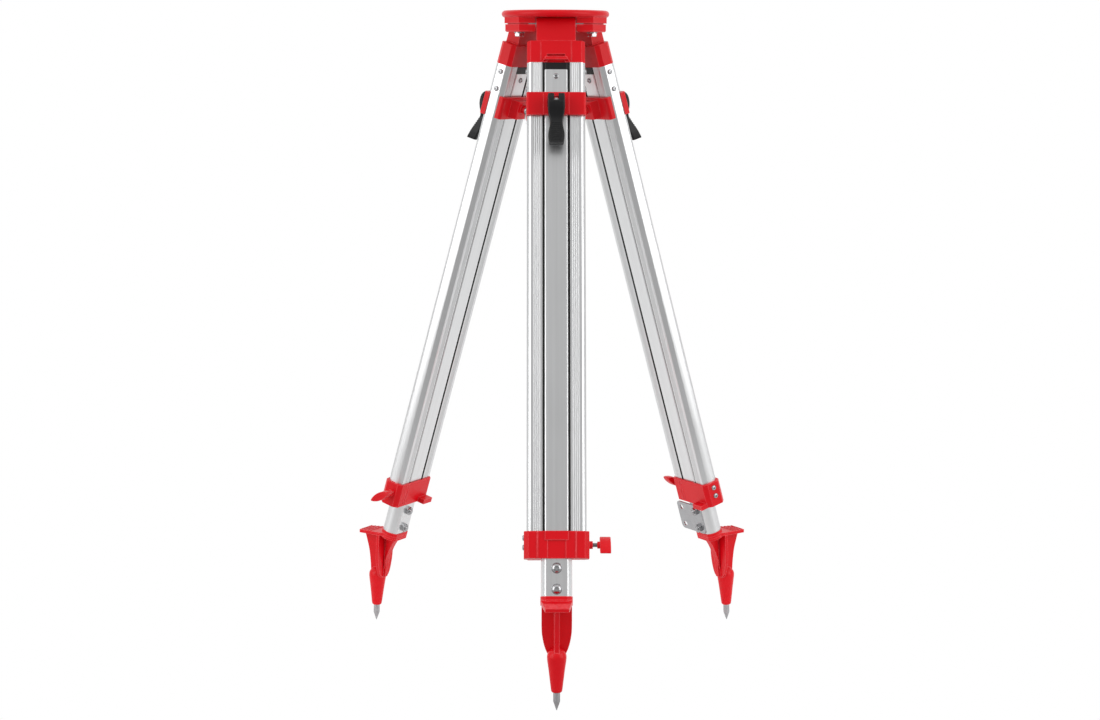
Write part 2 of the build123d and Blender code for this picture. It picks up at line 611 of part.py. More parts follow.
with BuildPart() as inner_tube:
    with BuildSketch(station(TUBE_END)):
        add(tube_outline())
        add(tube_outline(-TUBE_WALL), mode=Mode.SUBTRACT)
    extrude(amount=TUBE_END - GUIDE_BOTTOM)
    with Locations(*[(0, TUBE_MIDDLE, -s) for s in FOOT_BOLTS]):
        Cylinder(M8_HOLE, M8_DRILL, rotation=(90, 0, 0), mode=Mode.SUBTRACT)
    with Locations((0, TUBE_MIDDLE, -JAW_BOLT)):
        Cylinder(BOLT_RADIUS + SHAFT_PLAY, 60, rotation=(90, 0, 0), mode=Mode.SUBTRACT)
    with Locations((0, TUBE_MIDDLE, -GUIDE_SCREW)):
        Cylinder(SCREW_HOLE, 60, rotation=(90, 0, 0), mode=Mode.SUBTRACT)
inner_tube.part.label = "inner_tube"

with BuildPart() as slide_guide:
    with BuildSketch(station(GUIDE_BOTTOM)):
        add(tube_outline())
        with Locations((0, (OUTER_FACE + INNER_FACE) / 2)):
            Rectangle(2 * (RAIL_EDGE - GAP), INNER_FACE - OUTER_FACE)
    extrude(amount=GUIDE_BOTTOM - SHOULDER_BOTTOM - 0.5)
    with BuildSketch(station(GUIDE_BOTTOM)):
        add(tube_outline(-TUBE_WALL - PLUG_PLAY))
    extrude(amount=-20)
    with Locations((0, TUBE_MIDDLE, -GUIDE_SCREW)):
        Cylinder(SCREW_HOLE, 60, rotation=(90, 0, 0), mode=Mode.SUBTRACT)
slide_guide.part.label = "slide_guide"

# Foot: side planes hold (inwards, up from the spike's tip), one upright and one along the cone.


def foot_side(tilt):
    """Plane seen from the leg's side, its Y axis tilted from the leg's axis by an angle."""
    angle = radians(tilt)
    return Plane(
        origin=(0, TIP_INWARD, -TIP_STATION),
        x_dir=(0, cos(angle), sin(angle)),
        z_dir=(1, 0, 0),
    )


def foot_level(height):
    """Level plane at a height above the spike's tip when the leg stands at rest."""
    angle = radians(SPLAY)
    return Plane(
        origin=(0, TIP_INWARD - height * sin(angle), -TIP_STATION + height * cos(angle)),
        x_dir=(1, 0, 0),
        z_dir=(0, -sin(angle), cos(angle)),
    )


CONE_SIDE = foot_side(SPLAY - CONE_TILT)
CONE_AXIS = Axis(CONE_SIDE.origin, CONE_SIDE.y_dir)
SPIKE_RADIUS = 5.0
SPIKE_POINT = 13.0
SPIKE_OUT = 26.5
SPIKE_END = 52.0
WEB_FOOT = (20.4, 88.0)
WEB_TILT = 7.95
WEB_THICK = 5.0
OUTER_RIB_THICK = 8.0
INNER_RIB_THICK = 12.0
TREAD_HEIGHT = 150.0
TREAD_THICK = 6.0
COLLAR_WALL = 2.5           # wall of the foot's collar round the tube
TENON_LONG = 56.0           # part of the foot inside the tube
TENON_WALL = 3.5

with BuildPart() as spike:
    with BuildSketch(CONE_SIDE):
        Polygon((0, 0), (SPIKE_RADIUS, SPIKE_POINT), (SPIKE_RADIUS, SPIKE_END), (0, SPIKE_END), align=None)
    revolve(axis=CONE_AXIS)
spike.part.label = "spike"

web_angle = radians(SPLAY - WEB_TILT)
web_base = foot_side(SPLAY).from_local_coords(Vector(WEB_FOOT[0], WEB_FOOT[1], 0))
WEB_PLANE = Plane(origin=web_base, x_dir=(1, 0, 0), z_dir=(0, -cos(web_angle), -sin(web_angle)))

with BuildPart() as foot:
    with BuildSketch(CONE_SIDE):
        with BuildLine():
            Polyline((0, SPIKE_OUT), (5.6, SPIKE_OUT))
            ThreePointArc((5.6, SPIKE_OUT), (7.3, SPIKE_OUT + 1.2), (8.2, SPIKE_OUT + 4.0))
            Line((8.2, SPIKE_OUT + 4.0), (14.25, 77.0))
            ThreePointArc((14.25, 77.0), (10.4, 86.6), (0, 91.0))
            Line((0, 91.0), (0, SPIKE_OUT))
        make_face()
    revolve(axis=CONE_AXIS)
    with BuildSketch(WEB_PLANE):
        Polygon(
            (-11, -24), (11, -24), (16, -8), (18.5, 8), (21.2, 20), (22, 30), (22, 66),
            (-22, 66), (-22, 30), (-21.2, 20), (-18.5, 8), (-16, -8), align=None,
        )
    extrude(amount=WEB_THICK / 2, both=True)
    with BuildSketch(foot_side(SPLAY)):
        Polygon(
            (20.4, 74), (3.8, 74), (-8.3, 86), (-8.4, 102), (-10.2, 119), (-15.2, 136), (-18.7, 150.5),
            (24, 152), (28, 141), align=None,
        )
    extrude(amount=OUTER_RIB_THICK / 2, both=True)
    with BuildSketch(foot_side(SPLAY)):
        Polygon(
            (19, 90), (25.2, 110), (33, 127), (42.7, 142), (50.5, 148), (30, 156), (25, 141), align=None
        )
    extrude(amount=INNER_RIB_THICK / 2, both=True)
    with BuildSketch(foot_level(TREAD_HEIGHT)):
        Polygon((-17.5, -20.7), (17.5, -20.7), (22.5, 18), (22.5, 34), (-22.5, 34), (-22.5, 18), align=None)
    extrude(amount=TREAD_THICK)
    with BuildSketch(station(TUBE_END + 5.0)):
        add(tube_outline(COLLAR_WALL))
    extrude(amount=9.0)
    with BuildSketch(station(TUBE_END + 1.0)):
        add(tube_outline(COLLAR_WALL))
    extrude(amount=60.0, mode=Mode.SUBTRACT)
    with BuildSketch(station(TUBE_END)):
        add(tube_outline(COLLAR_WALL))
        add(tube_outline(0.02), mode=Mode.SUBTRACT)
    extrude(amount=4.0)
    with BuildSketch(station(TUBE_END + 1.0)):
        add(tube_outline(COLLAR_WALL))
    extrude(amount=1.0)
    with BuildSketch(station(TUBE_END)):
        add(tube_outline(-TUBE_WALL - PLUG_PLAY))
        add(tube_outline(-TUBE_WALL - PLUG_PLAY - TENON_WALL), mode=Mode.SUBTRACT)
    extrude(amount=TENON_LONG)
    with Locations(*[(0, TUBE_MIDDLE, -s) for s in FOOT_BOLTS]):
        Cylinder(M8_HOLE, M8_DRILL, rotation=(90, 0, 0), mode=Mode.SUBTRACT)
    with BuildSketch(CONE_SIDE):
        Polygon((0, 0), (SPIKE_RADIUS, 0), (SPIKE_RADIUS, SPIKE_END), (0, SPIKE_END), align=None)
    revolve(axis=CONE_AXIS, mode=Mode.SUBTRACT)
foot.part.label = "foot"

BRACKET_THICK = 2.5


def tube_fasteners(inner_stack):
    """Foot bolts with their nuts, and the two screws that hold the guide plug."""
    nut_start = TUBE_INNER_FACE + inner_stack
    bolt_tip = nut_start + M8_NUT_HIGH + 2.2
    with BuildPart() as fasteners:
        for s in FOOT_BOLTS:
            middle = (0, 0, -s)
            with BuildSketch(Plane(origin=middle, x_dir=(0, 1, 0), z_dir=(1, 0, 0))):
                with BuildLine():
                    Polyline(
                        (bolt_tip, 0), (bolt_tip, M8_RADIUS), (TUBE_OUTER_FACE, M8_RADIUS),
                        (TUBE_OUTER_FACE, 7.0), (TUBE_OUTER_FACE - 0.8, 7.0),
                    )
                    ThreePointArc(
                        (TUBE_OUTER_FACE - 0.8, 7.0),
                        (TUBE_OUTER_FACE - 3.2, 5.2),
                        (TUBE_OUTER_FACE - 4.4, 2.6),
                    )
                    Polyline(
                        (TUBE_OUTER_FACE - 4.4, 2.6), (TUBE_OUTER_FACE - 1.8, 2.6),
                        (TUBE_OUTER_FACE - 1.8, 0), (bolt_tip, 0),
                    )
                make_face()
            revolve(axis=Axis(middle, (0, 1, 0)))
            with BuildSketch(Plane(origin=(0, nut_start, -s), x_dir=(1, 0, 0), z_dir=(0, 1, 0))):
                RegularPolygon(M8_FLATS / 2, 6, major_radius=False)
            extrude(amount=M8_NUT_HIGH)
        add(Pos(0, TUBE_OUTER_FACE, -GUIDE_SCREW) * guide_screw)
        add(Pos(0, TUBE_INNER_FACE, -GUIDE_SCREW) * (Rot(0, 0, 180) * guide_screw))
    return fasteners.part


with BuildPart() as strap_bracket:
    with BuildSketch(Plane(origin=(0, TUBE_INNER_FACE, -836.5), x_dir=(1, 0, 0), z_dir=(0, -1, 0))):
        with Locations((18.25, 0)):
            RectangleRounded(67.5, 49.0, 7.0)
        with Locations((0, 15.0), (0, -15.4)):
            Circle(M8_HOLE, mode=Mode.SUBTRACT)
        with Locations((40, 15.0), (40, -15.4)):
            Circle(4.5, mode=Mode.SUBTRACT)
    extrude(amount=-BRACKET_THICK)
strap_bracket.part.label = "strap_bracket"

# ---------------------------------------------------------------- leg: quick clamp

JAW_LONG = JAW_BOTTOM - JAW_TOP
FRONT_JAW_BACK = -6.4
REAR_JAW_FRONT = 11.4
PANEL_WIDE = 38.6           # raised middle of the front jaw
PANEL_PROUD = 0.5
LEVER_WINDOW = (2 * LEVER_HALF + 1.4, 2.6, 18.6)
LEVER_PLANE = Plane(origin=(0, LEVER_PIN_Y, -JAW_BOLT), x_dir=(0, 1, 0), z_dir=(1, 0, 0))

with BuildPart() as front_jaw:
    with BuildSketch(station(JAW_BOTTOM)):
        with BuildLine():
            Line((0, JAW_FACE), (JAW_HALF - 4, JAW_FACE))
            TangentArc((JAW_HALF - 4, JAW_FACE), (JAW_HALF, JAW_FACE + 4.4), tangent=(1, 0))
            Polyline((JAW_HALF, JAW_FACE + 4.4), (JAW_HALF, FRONT_JAW_BACK), (0, FRONT_JAW_BACK))
            mirror(about=Plane.YZ)
        make_face()
        add(leg_outline(GAP), mode=Mode.SUBTRACT)
        with Locations((0, TUBE_OUTER_FACE)):
            Rectangle(2 * TUBE_FLAT_HALF + 6, 4.0, align=(Align.CENTER, Align.MIN), mode=Mode.SUBTRACT)
    extrude(amount=JAW_LONG)
    with Locations((0, JAW_FACE, -(JAW_TOP + JAW_BOTTOM) / 2)):
        Box(PANEL_WIDE, 2 * PANEL_PROUD, JAW_LONG - 1.0)
    with Locations((0, JAW_FACE, -JAW_BOLT - 0.4)):
        Box(*LEVER_WINDOW, mode=Mode.SUBTRACT)
    with Locations((0, JAW_FACE, -JAW_BOLT)):
        Cylinder(BOLT_RADIUS + 0.4, 14.0, rotation=(90, 0, 0), mode=Mode.SUBTRACT)
front_jaw.part.label = "front_jaw"

with BuildPart() as rear_jaw:
    with BuildSketch(station(JAW_BOTTOM)):
        with BuildLine():
            Polyline((0, REAR_JAW_FRONT), (JAW_HALF, REAR_JAW_FRONT), (JAW_HALF, REAR_FACE - 4.5))
            RadiusArc((JAW_HALF, REAR_FACE - 4.5), (JAW_HALF - 4.5, REAR_FACE), -4.5)
            Line((JAW_HALF - 4.5, REAR_FACE), (0, REAR_FACE))
            mirror(about=Plane.YZ)
        make_face()
        add(leg_outline(GAP), mode=Mode.SUBTRACT)
    extrude(amount=JAW_LONG)
    with BuildSketch(station(JAW_BOTTOM - 3.0)):
        Polygon((-21, REAR_FACE - 0.5), (21, REAR_FACE - 0.5), (14, HAT_FACE), (-14, HAT_FACE), align=None)
    extrude(amount=JAW_LONG - 6.0)
    with Locations((0, HAT_FACE - 1.0, -JAW_BOLT)):
        Cylinder(HAT_BOSS_RADIUS, BOSS_END - HAT_FACE + 1.0, rotation=(-90, 0, 0), align=UPWARDS)
    with Locations((0, INNER_FACE, -JAW_BOLT)):
        Box(22.0, 2 * (HAT_FACE - HAT_WALL - INNER_FACE), JAW_LONG - 14.0, mode=Mode.SUBTRACT)
    with Locations((0, BOSS_END, -JAW_BOLT)):
        Cylinder(BOLT_RADIUS + 0.05, 40.0, rotation=(90, 0, 0), mode=Mode.SUBTRACT)
rear_jaw.part.label = "rear_jaw"

BOLT_END = 46.5
EYE_RADIUS = 3.4
EYE_HALF = 2.4

with BuildPart() as clamp_bolt:
    with Locations((0, BOLT_END, -JAW_BOLT)):
        Cylinder(
            BOLT_RADIUS,
            BOLT_END - LEVER_PIN_Y - 5.0,
            rotation=(90, 0, 0),
            align=UPWARDS,
        )
    with BuildSketch(LEVER_PLANE):
        Circle(EYE_RADIUS)
        with Locations((3.6, 0)):
            Rectangle(7.2, 5.6)
        Circle(LEVER_PIN_RADIUS, mode=Mode.SUBTRACT)
    extrude(amount=EYE_HALF, both=True)
    with BuildSketch(LEVER_PLANE):
        Circle(LEVER_PIN_RADIUS)
    extrude(amount=LEVER_HALF, both=True)
clamp_bolt.part.label = "clamp_bolt"

LEVER_SLOT = 3.1
LEVER_OUTER = (
    (-6.0, 8.6), (-11.0, 4.0), (-12.6, -3.0), (-11.6, -12.0), (-6.8, -24.0), (-6.0, -31.0), (-9.2, -42.0),
    (-19.3, -70.0),
)
LEVER_INNER = (
    (-19.3, -70.0), (-3.2, -71.6), (1.0, -56.0), (3.6, -40.0), (4.2, -30.0), (8.8, -17.0), (9.6, -8.0),
    (3.0, 3.0), (-6.0, 8.6),
)

with BuildPart() as cam_lever:
    with BuildSketch(LEVER_PLANE):
        with Locations((CAM_OFFSET, 0)):
            Circle(CAM_RADIUS)
        with BuildLine():
            Polyline(*LEVER_OUTER)
            Polyline(*LEVER_INNER)
        make_face()
    extrude(amount=LEVER_HALF, both=True)
    with BuildSketch(Plane.XZ.offset(-LEVER_PIN_Y + 22)):
        with BuildLine():
            Spline(
                (LEVER_HALF, -JAW_BOLT - 18), (9.0, -159.0), (12.3, -184.0), (10.0, -199.0),
                tangents=((0, -1), (-0.15, -1)),
            )
            Polyline((10.0, -199.0), (-10.0, -199.0))
            Spline(
                (-10.0, -199.0), (-12.3, -184.0), (-9.0, -159.0), (-LEVER_HALF, -JAW_BOLT - 18),
                tangents=((-0.15, 1), (0, 1)),
            )
            Polyline(
                (-LEVER_HALF, -JAW_BOLT - 18), (-LEVER_HALF, -JAW_TOP), (LEVER_HALF, -JAW_TOP),
                (LEVER_HALF, -JAW_BOLT - 18),
            )
        make_face()
    extrude(amount=-44, mode=Mode.INTERSECT)
    with Locations((0, LEVER_PIN_Y, -JAW_BOLT + 4.0)):
        Box(2 * LEVER_SLOT, 34.0, 15.6, mode=Mode.SUBTRACT)
    with BuildSketch(LEVER_PLANE):
        Circle(LEVER_PIN_RADIUS + SHAFT_PLAY)
    extrude(amount=LEVER_HALF + 1, both=True, mode=Mode.SUBTRACT)
cam_lever.part.label = "cam_lever"

WING_NUT_START = BOSS_END + 0.3
NUT_HUB_RADIUS = 5.5
NUT_HUB_HIGH = 5.2
NUT_WING_HALF = 1.5

with BuildPart() as wing_nut:
    with Locations((0, WING_NUT_START, -JAW_BOLT)):
        Cylinder(NUT_HUB_RADIUS, NUT_HUB_HIGH, rotation=(-90, 0, 0), align=UPWARDS)
    with BuildSketch(Plane(origin=(0, 0, -JAW_BOLT), x_dir=(0, 1, 0), z_dir=(1, 0, 0))):
        with BuildLine():
            Polyline((WING_NUT_START, 4), (WING_NUT_START + 0.6, 10), (WING_NUT_START + 5.2, 20))
            Polyline((WING_NUT_START + 5.2, 20), (WING_NUT_START + 8.2, 17.5), (WING_NUT_START + 5.0, 9))
            Polyline((WING_NUT_START + 5.0, 9), (WING_NUT_START + 4.4, 4), (WING_NUT_START, 4))
        make_face()
        mirror(about=Plane.XZ)
    extrude(amount=NUT_WING_HALF, both=True)
    with Locations((0, WING_NUT_START, -JAW_BOLT)):
        Cylinder(BOLT_RADIUS + SHAFT_PLAY, 30.0, rotation=(90, 0, 0), mode=Mode.SUBTRACT)
wing_nut.part.label = "wing_nut"

# ---------------------------------------------------------------- write the pieces

LEG_PIECES = [
    hinge_casting, side_rails, rail_screws, lower_clamp, clamp_screw, wing_knob, inner_tube,
    slide_guide, foot, spike, front_jaw, rear_jaw, clamp_bolt, cam_lever, wing_nut,
]
HEAD_PIECES = [
    head_plate, hinge_caps, hinge_pins, cap_bolts, swing_arm, arm_pivot, screw_carriage,
    screw_bush, fixing_screw, screw_knob, plumb_hook,
]


def leg_place(turn):
    """Place of a leg's frame, turned about the tripod's axis."""
    return Rot(0, 0, turn) * Pos(0, -HINGE_RADIUS, PIN_HEIGHT) * Rot(-SPLAY, 0, 0)


def write(shape, name):
    """Label a finished piece and write it as its own file."""
    shape.label = name
    export_step(shape, f"parts/{name}.step")


os.makedirs("parts", exist_ok=True)
for piece in HEAD_PIECES:
    write(piece.part, piece.part.label)
for leg, turn in LEG_TURNS.items():
    place = leg_place(turn)
    for piece in LEG_PIECES:
        write(place * piece.part, f"{piece.part.label}_{leg}")
    stack = BRACKET_THICK if leg == "right" else 0.0
    write(place * tube_fasteners(stack), f"tube_fasteners_{leg}")
write(leg_place(LEG_TURNS["right"]) * strap_bracket.part, "strap_bracket")
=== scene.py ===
"""Looks of the surveyor tripod: its finishes, its finely modelled pieces, the studio and the camera."""

import json
import logging
import math
from dataclasses import dataclass, field
from enum import Enum
from typing import Callable, Sequence

import bmesh
import bpy
from mathutils import Matrix, Vector


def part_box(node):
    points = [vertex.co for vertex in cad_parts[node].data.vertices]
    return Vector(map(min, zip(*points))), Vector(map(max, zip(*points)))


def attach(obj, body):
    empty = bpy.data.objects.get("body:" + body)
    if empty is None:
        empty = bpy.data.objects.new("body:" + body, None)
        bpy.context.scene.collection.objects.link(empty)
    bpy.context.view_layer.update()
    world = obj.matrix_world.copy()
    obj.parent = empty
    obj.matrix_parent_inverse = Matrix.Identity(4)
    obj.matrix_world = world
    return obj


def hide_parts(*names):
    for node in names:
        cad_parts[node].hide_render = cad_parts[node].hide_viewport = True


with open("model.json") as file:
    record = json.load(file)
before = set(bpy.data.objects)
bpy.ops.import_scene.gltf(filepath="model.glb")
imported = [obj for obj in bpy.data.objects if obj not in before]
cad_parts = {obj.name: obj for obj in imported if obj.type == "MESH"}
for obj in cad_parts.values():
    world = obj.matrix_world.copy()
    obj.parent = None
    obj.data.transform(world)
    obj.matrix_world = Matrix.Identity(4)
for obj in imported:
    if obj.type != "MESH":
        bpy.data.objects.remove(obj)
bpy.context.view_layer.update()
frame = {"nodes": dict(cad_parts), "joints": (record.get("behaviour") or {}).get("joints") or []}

log = logging.getLogger("tripod")

MM = 0.001
Colour = tuple[float, float, float]
Point2 = tuple[float, float]
Point3 = tuple[float, float, float]


class Side(Enum):
    """The three legs, each by the name that its nodes and bodies end with."""

    FRONT = "front"
    LEFT = "left"
    RIGHT = "right"


class Slot(Enum):
    """Material slots of the record."""

    RED_CASTING = "red_casting"
    RED_MOULDING = "red_moulding"
    ALUMINIUM = "satin_aluminium"
    STEEL = "bright_steel"
    BRASS = "brass"
    BLACK = "black_plastic"


# ------------------------------------------------------------------ shader node groups


class EffectGroups:
    """Shader node groups that several finishes share, each built once."""

    def __init__(self) -> None:
        """Build every group."""
        self.skin = self._skin()
        self.grain = self._grain()
        # Mask for the painted highlight along sharp edges.
        self.highlight_group = self._highlight_group()

    @staticmethod
    def _new(
        name: str, inputs: Sequence[tuple[str, str, float]], outputs: Sequence[tuple[str, str]]
    ) -> tuple:
        """Start a shader node group.

        Args:
            name: Name of the group.
            inputs: Name, socket type and default of each input.
            outputs: Name and socket type of each output.

        Returns:
            The node tree with its input node and output node.
        """
        tree = bpy.data.node_groups.new(name, "ShaderNodeTree")
        for label, kind, default in inputs:
            socket = tree.interface.new_socket(label, in_out="INPUT", socket_type=kind)
            socket.default_value = default
        for label, kind in outputs:
            tree.interface.new_socket(label, in_out="OUTPUT", socket_type=kind)
        return tree, tree.nodes.new("NodeGroupInput"), tree.nodes.new("NodeGroupOutput")

    @staticmethod
    def _noise(
        tree: bpy.types.NodeTree, vector, scale, detail: float, roughness: float = 0.5
    ) -> bpy.types.NodeSocket:
        """Add a noise texture fed by a vector socket, with its scale linked or set."""
        node = tree.nodes.new("ShaderNodeTexNoise")
        tree.links.new(vector, node.inputs["Vector"])
        if isinstance(scale, (int, float)):
            node.inputs["Scale"].default_value = scale
        else:
            tree.links.new(scale, node.inputs["Scale"])
        node.inputs["Detail"].default_value = detail
        node.inputs["Roughness"].default_value = roughness
        return node.outputs["Fac"]

    @staticmethod
    def _math(
        tree: bpy.types.NodeTree, operation: str, first, second, clamp: bool = False
    ) -> bpy.types.NodeSocket:
        """Add a math node with two operands, each a socket or a number."""
        node = tree.nodes.new("ShaderNodeMath")
        node.operation = operation
        node.use_clamp = clamp
        for socket, value in zip(node.inputs, (first, second)):
            if isinstance(value, (int, float)):
                socket.default_value = value
            else:
                tree.links.new(value, socket)
        return node.outputs[0]

    def _skin(self) -> bpy.types.NodeTree:
        """Surface of a painted or moulded piece: fine orange peel and broad, faint unevenness."""
        tree, start, end = self._new(
            "moulded_skin",
            (("Peel Scale", "NodeSocketFloat", 900.0), ("Cloud Scale", "NodeSocketFloat", 25.0)),
            (("Height", "NodeSocketFloat"), ("Cloud", "NodeSocketFloat"), ("Speck", "NodeSocketFloat")),
        )
        place = tree.nodes.new("ShaderNodeTexCoord").outputs["Object"]
        peel = self._noise(tree, place, start.outputs["Peel Scale"], 2.0)
        cloud = self._noise(tree, place, start.outputs["Cloud Scale"], 4.0, 0.6)
        speck = self._noise(tree, place, 2600.0, 1.0)
        tree.links.new(peel, end.inputs["Height"])
        tree.links.new(cloud, end.inputs["Cloud"])
        tree.links.new(speck, end.inputs["Speck"])
        return tree

    def _grain(self) -> bpy.types.NodeTree:
        """Drawn or brushed metal: streaks that run along one direction."""
        tree, start, end = self._new(
            "drawn_grain",
            (
                ("Across Scale", "NodeSocketFloat", 1500.0),
                ("Along Scale", "NodeSocketFloat", 12.0),
            ),
            (("Height", "NodeSocketFloat"), ("Streak", "NodeSocketFloat"), ("Cloud", "NodeSocketFloat")),
        )
        axis = tree.interface.new_socket("Along", in_out="INPUT", socket_type="NodeSocketVector")
        axis.default_value = (0.0, 0.0, 1.0)
        place = tree.nodes.new("ShaderNodeTexCoord").outputs["Object"]
        dot = tree.nodes.new("ShaderNodeVectorMath")
        dot.operation = "DOT_PRODUCT"
        tree.links.new(place, dot.inputs[0])
        tree.links.new(start.outputs["Along"], dot.inputs[1])

        def scaled(vector, factor) -> bpy.types.NodeSocket:
            """Scale a vector socket by a value socket."""
            node = tree.nodes.new("ShaderNodeVectorMath")
            node.operation = "SCALE"
            tree.links.new(vector, node.inputs[0])
            tree.links.new(factor, node.inputs["Scale"])
            return node.outputs[0]

        def combined(operation, first, second) -> bpy.types.NodeSocket:
            """Add or subtract two vector sockets."""
            node = tree.nodes.new("ShaderNodeVectorMath")
            node.operation = operation
            tree.links.new(first, node.inputs[0])
            tree.links.new(second, node.inputs[1])
            return node.outputs[0]

        run = scaled(start.outputs["Along"], dot.outputs["Value"])
        cross = combined("SUBTRACT", place, run)
        stretched = combined(
            "ADD",
            scaled(cross, start.outputs["Across Scale"]),
            scaled(run, start.outputs["Along Scale"]),
        )
        fine = self._noise(tree, stretched, 1.0, 3.0, 0.6)
        broad = self._noise(tree, stretched, 0.16, 2.0, 0.5)
        cloud = self._noise(tree, place, 9.0, 3.0)
        tree.links.new(fine, end.inputs["Height"])
        tree.links.new(broad, end.inputs["Streak"])
        tree.links.new(cloud, end.inputs["Cloud"])
        return tree

    def _highlight_group(self) -> bpy.types.NodeTree:
        """Painted edge highlight: a mask where the surface bends sharply, broken up by noise."""
        tree, start, end = self._new(
            "painted_edge_highlight",
            (("Start", "NodeSocketFloat", 0.012), ("Width", "NodeSocketFloat", 0.12)),
            (("Mask", "NodeSocketFloat"),),
        )
        place = tree.nodes.new("ShaderNodeTexCoord").outputs["Object"]
        rounded = tree.nodes.new("ShaderNodeBevel")
        rounded.samples = 4
        rounded.inputs["Radius"].default_value = 0.0018
        along = tree.nodes.new("ShaderNodeVectorMath")
        along.operation = "DOT_PRODUCT"
        tree.links.new(rounded.outputs["Normal"], along.inputs[0])
        tree.links.new(tree.nodes.new("ShaderNodeNewGeometry").outputs["Normal"], along.inputs[1])
        bend = self._math(tree, "SUBTRACT", self._math(tree, "MULTIPLY", along.outputs["Value"], -1.0), -1.0)
        rise = self._math(tree, "SUBTRACT", bend, start.outputs["Start"])
        ramp = self._math(tree, "DIVIDE", rise, start.outputs["Width"], clamp=True)
        patches = self._noise(tree, place, 160.0, 4.0, 0.65)
        broken = self._math(tree, "MULTIPLY_ADD", patches, 1.6)
        broken.node.inputs[2].default_value = -0.2
        broken.node.use_clamp = True
        tree.links.new(self._math(tree, "MULTIPLY", ramp, broken), end.inputs["Mask"])
        return tree


GROUPS = EffectGroups()


def ramp(
    tree: bpy.types.NodeTree, source: bpy.types.NodeSocket,
    given: Point2, wanted: Point2, kind: str = "LINEAR",
) -> bpy.types.NodeSocket:
    """Map a value socket from one span to another, and return the result's socket."""
    node = tree.nodes.new("ShaderNodeMapRange")
    node.interpolation_type = kind
    for label, value in zip(("From Min", "From Max", "To Min", "To Max"), (*given, *wanted)):
        node.inputs[label].default_value = value
    tree.links.new(source, node.inputs["Value"])
    return node.outputs["Result"]


class Shader:
    """A new material with one Principled shader and short ways to link into it."""

    def __init__(self, name: str, rough: float, metal: float = 0.0) -> None:
        """Make the material and set what is the same all over it."""
        self.material = bpy.data.materials.new(name)
        self.material.use_nodes = True
        self.tree = self.material.node_tree
        self.surface = self.tree.nodes["Principled BSDF"]
        self.surface.inputs["Roughness"].default_value = rough
        self.surface.inputs["Metallic"].default_value = metal

    def group(self, tree: bpy.types.NodeTree, **values) -> bpy.types.Node:
        """Place a node group, with its inputs given by name and underscores for spaces."""
        node = self.tree.nodes.new("ShaderNodeGroup")
        node.node_tree = tree
        for label, value in values.items():
            node.inputs[label.replace("_", " ")].default_value = value
        return node

    def spread(self, source, low: float, high: float, target: str) -> None:
        """Map a mask from 0..1 to low..high and link it to an input of the shader."""
        wanted = ramp(self.tree, source, (0.0, 1.0), (low, high))
        self.tree.links.new(wanted, self.surface.inputs[target])

    def blend_colour(self, mask, first: Colour, second: Colour) -> bpy.types.NodeSocket:
        """Mix two colours by a mask, and return the mixed colour's socket."""
        node = self.tree.nodes.new("ShaderNodeMix")
        node.data_type = "RGBA"
        node.inputs["A"].default_value = (*first, 1.0)
        node.inputs["B"].default_value = (*second, 1.0)
        self.tree.links.new(mask, node.inputs["Factor"])
        return node.outputs["Result"]

    def over_colour(self, below, mask, colour: Colour) -> bpy.types.NodeSocket:
        """Lay a colour over a colour socket by a mask, and return the result's socket."""
        node = self.tree.nodes.new("ShaderNodeMix")
        node.data_type = "RGBA"
        node.inputs["B"].default_value = (*colour, 1.0)
        self.tree.links.new(below, node.inputs["A"])
        self.tree.links.new(mask, node.inputs["Factor"])
        return node.outputs["Result"]

    def colour_from(self, socket) -> None:
        """Link a colour socket to the shader's base colour."""
        self.tree.links.new(socket, self.surface.inputs["Base Color"])

    def relief(self, source, strength: float, distance: float) -> None:
        """Bump the surface by a height socket."""
        node = self.tree.nodes.new("ShaderNodeBump")
        node.inputs["Strength"].default_value = strength
        node.inputs["Distance"].default_value = distance
        self.tree.links.new(source, node.inputs["Height"])
        self.tree.links.new(node.outputs["Normal"], self.surface.inputs["Normal"])


# ------------------------------------------------------------------ finishes


@dataclass(frozen=True)
class Coating:
    """Paint or moulded plastic with a fine texture, faint clouds and a painted highlight along its edges."""

    name: str
    colour: Colour
    bloom: Colour
    rough: float
    # Lighter colour laid on sharp edges as a painted highlight.
    edge_highlight: Colour
    specular: float
    peel_scale: float
    cloud_scale: float
    relief: float
    coat: float = 0.0
    coat_rough: float = 0.03

    def build(self) -> bpy.types.Material:
        """Make the material."""
        shader = Shader(self.name, self.rough)
        shader.surface.inputs["Coat Roughness"].default_value = self.coat_rough
        shader.surface.inputs["Coat Weight"].default_value = self.coat
        shader.surface.inputs["Specular IOR Level"].default_value = self.specular
        skin = shader.group(GROUPS.skin, Peel_Scale=self.peel_scale, Cloud_Scale=self.cloud_scale)
        # The edges are lightened towards a brighter colour as a painted highlight.
        highlight_group = shader.group(GROUPS.highlight_group)
        base = shader.blend_colour(skin.outputs["Cloud"], self.colour, self.bloom)
        shader.colour_from(shader.over_colour(base, highlight_group.outputs["Mask"], self.edge_highlight))
        shader.spread(skin.outputs["Speck"], self.rough - 0.06, self.rough + 0.08, "Roughness")
        shader.relief(skin.outputs["Height"], self.relief, 0.0003)
        return shader.material


@dataclass(frozen=True)
class RedFinish(Coating):
    """Signal-red paint or nylon with a soft gloss."""

    colour: Colour = (0.64, 0.0015, 0.0070)
    bloom: Colour = (0.72, 0.0020, 0.0085)
    rough: float = 0.36
    # Light red painted highlight on the edges.
    edge_highlight: Colour = (0.90, 0.16, 0.18)
    specular: float = 0.22
    peel_scale: float = 1100.0
    cloud_scale: float = 14.0
    relief: float = 0.16
    coat_rough: float = 0.25


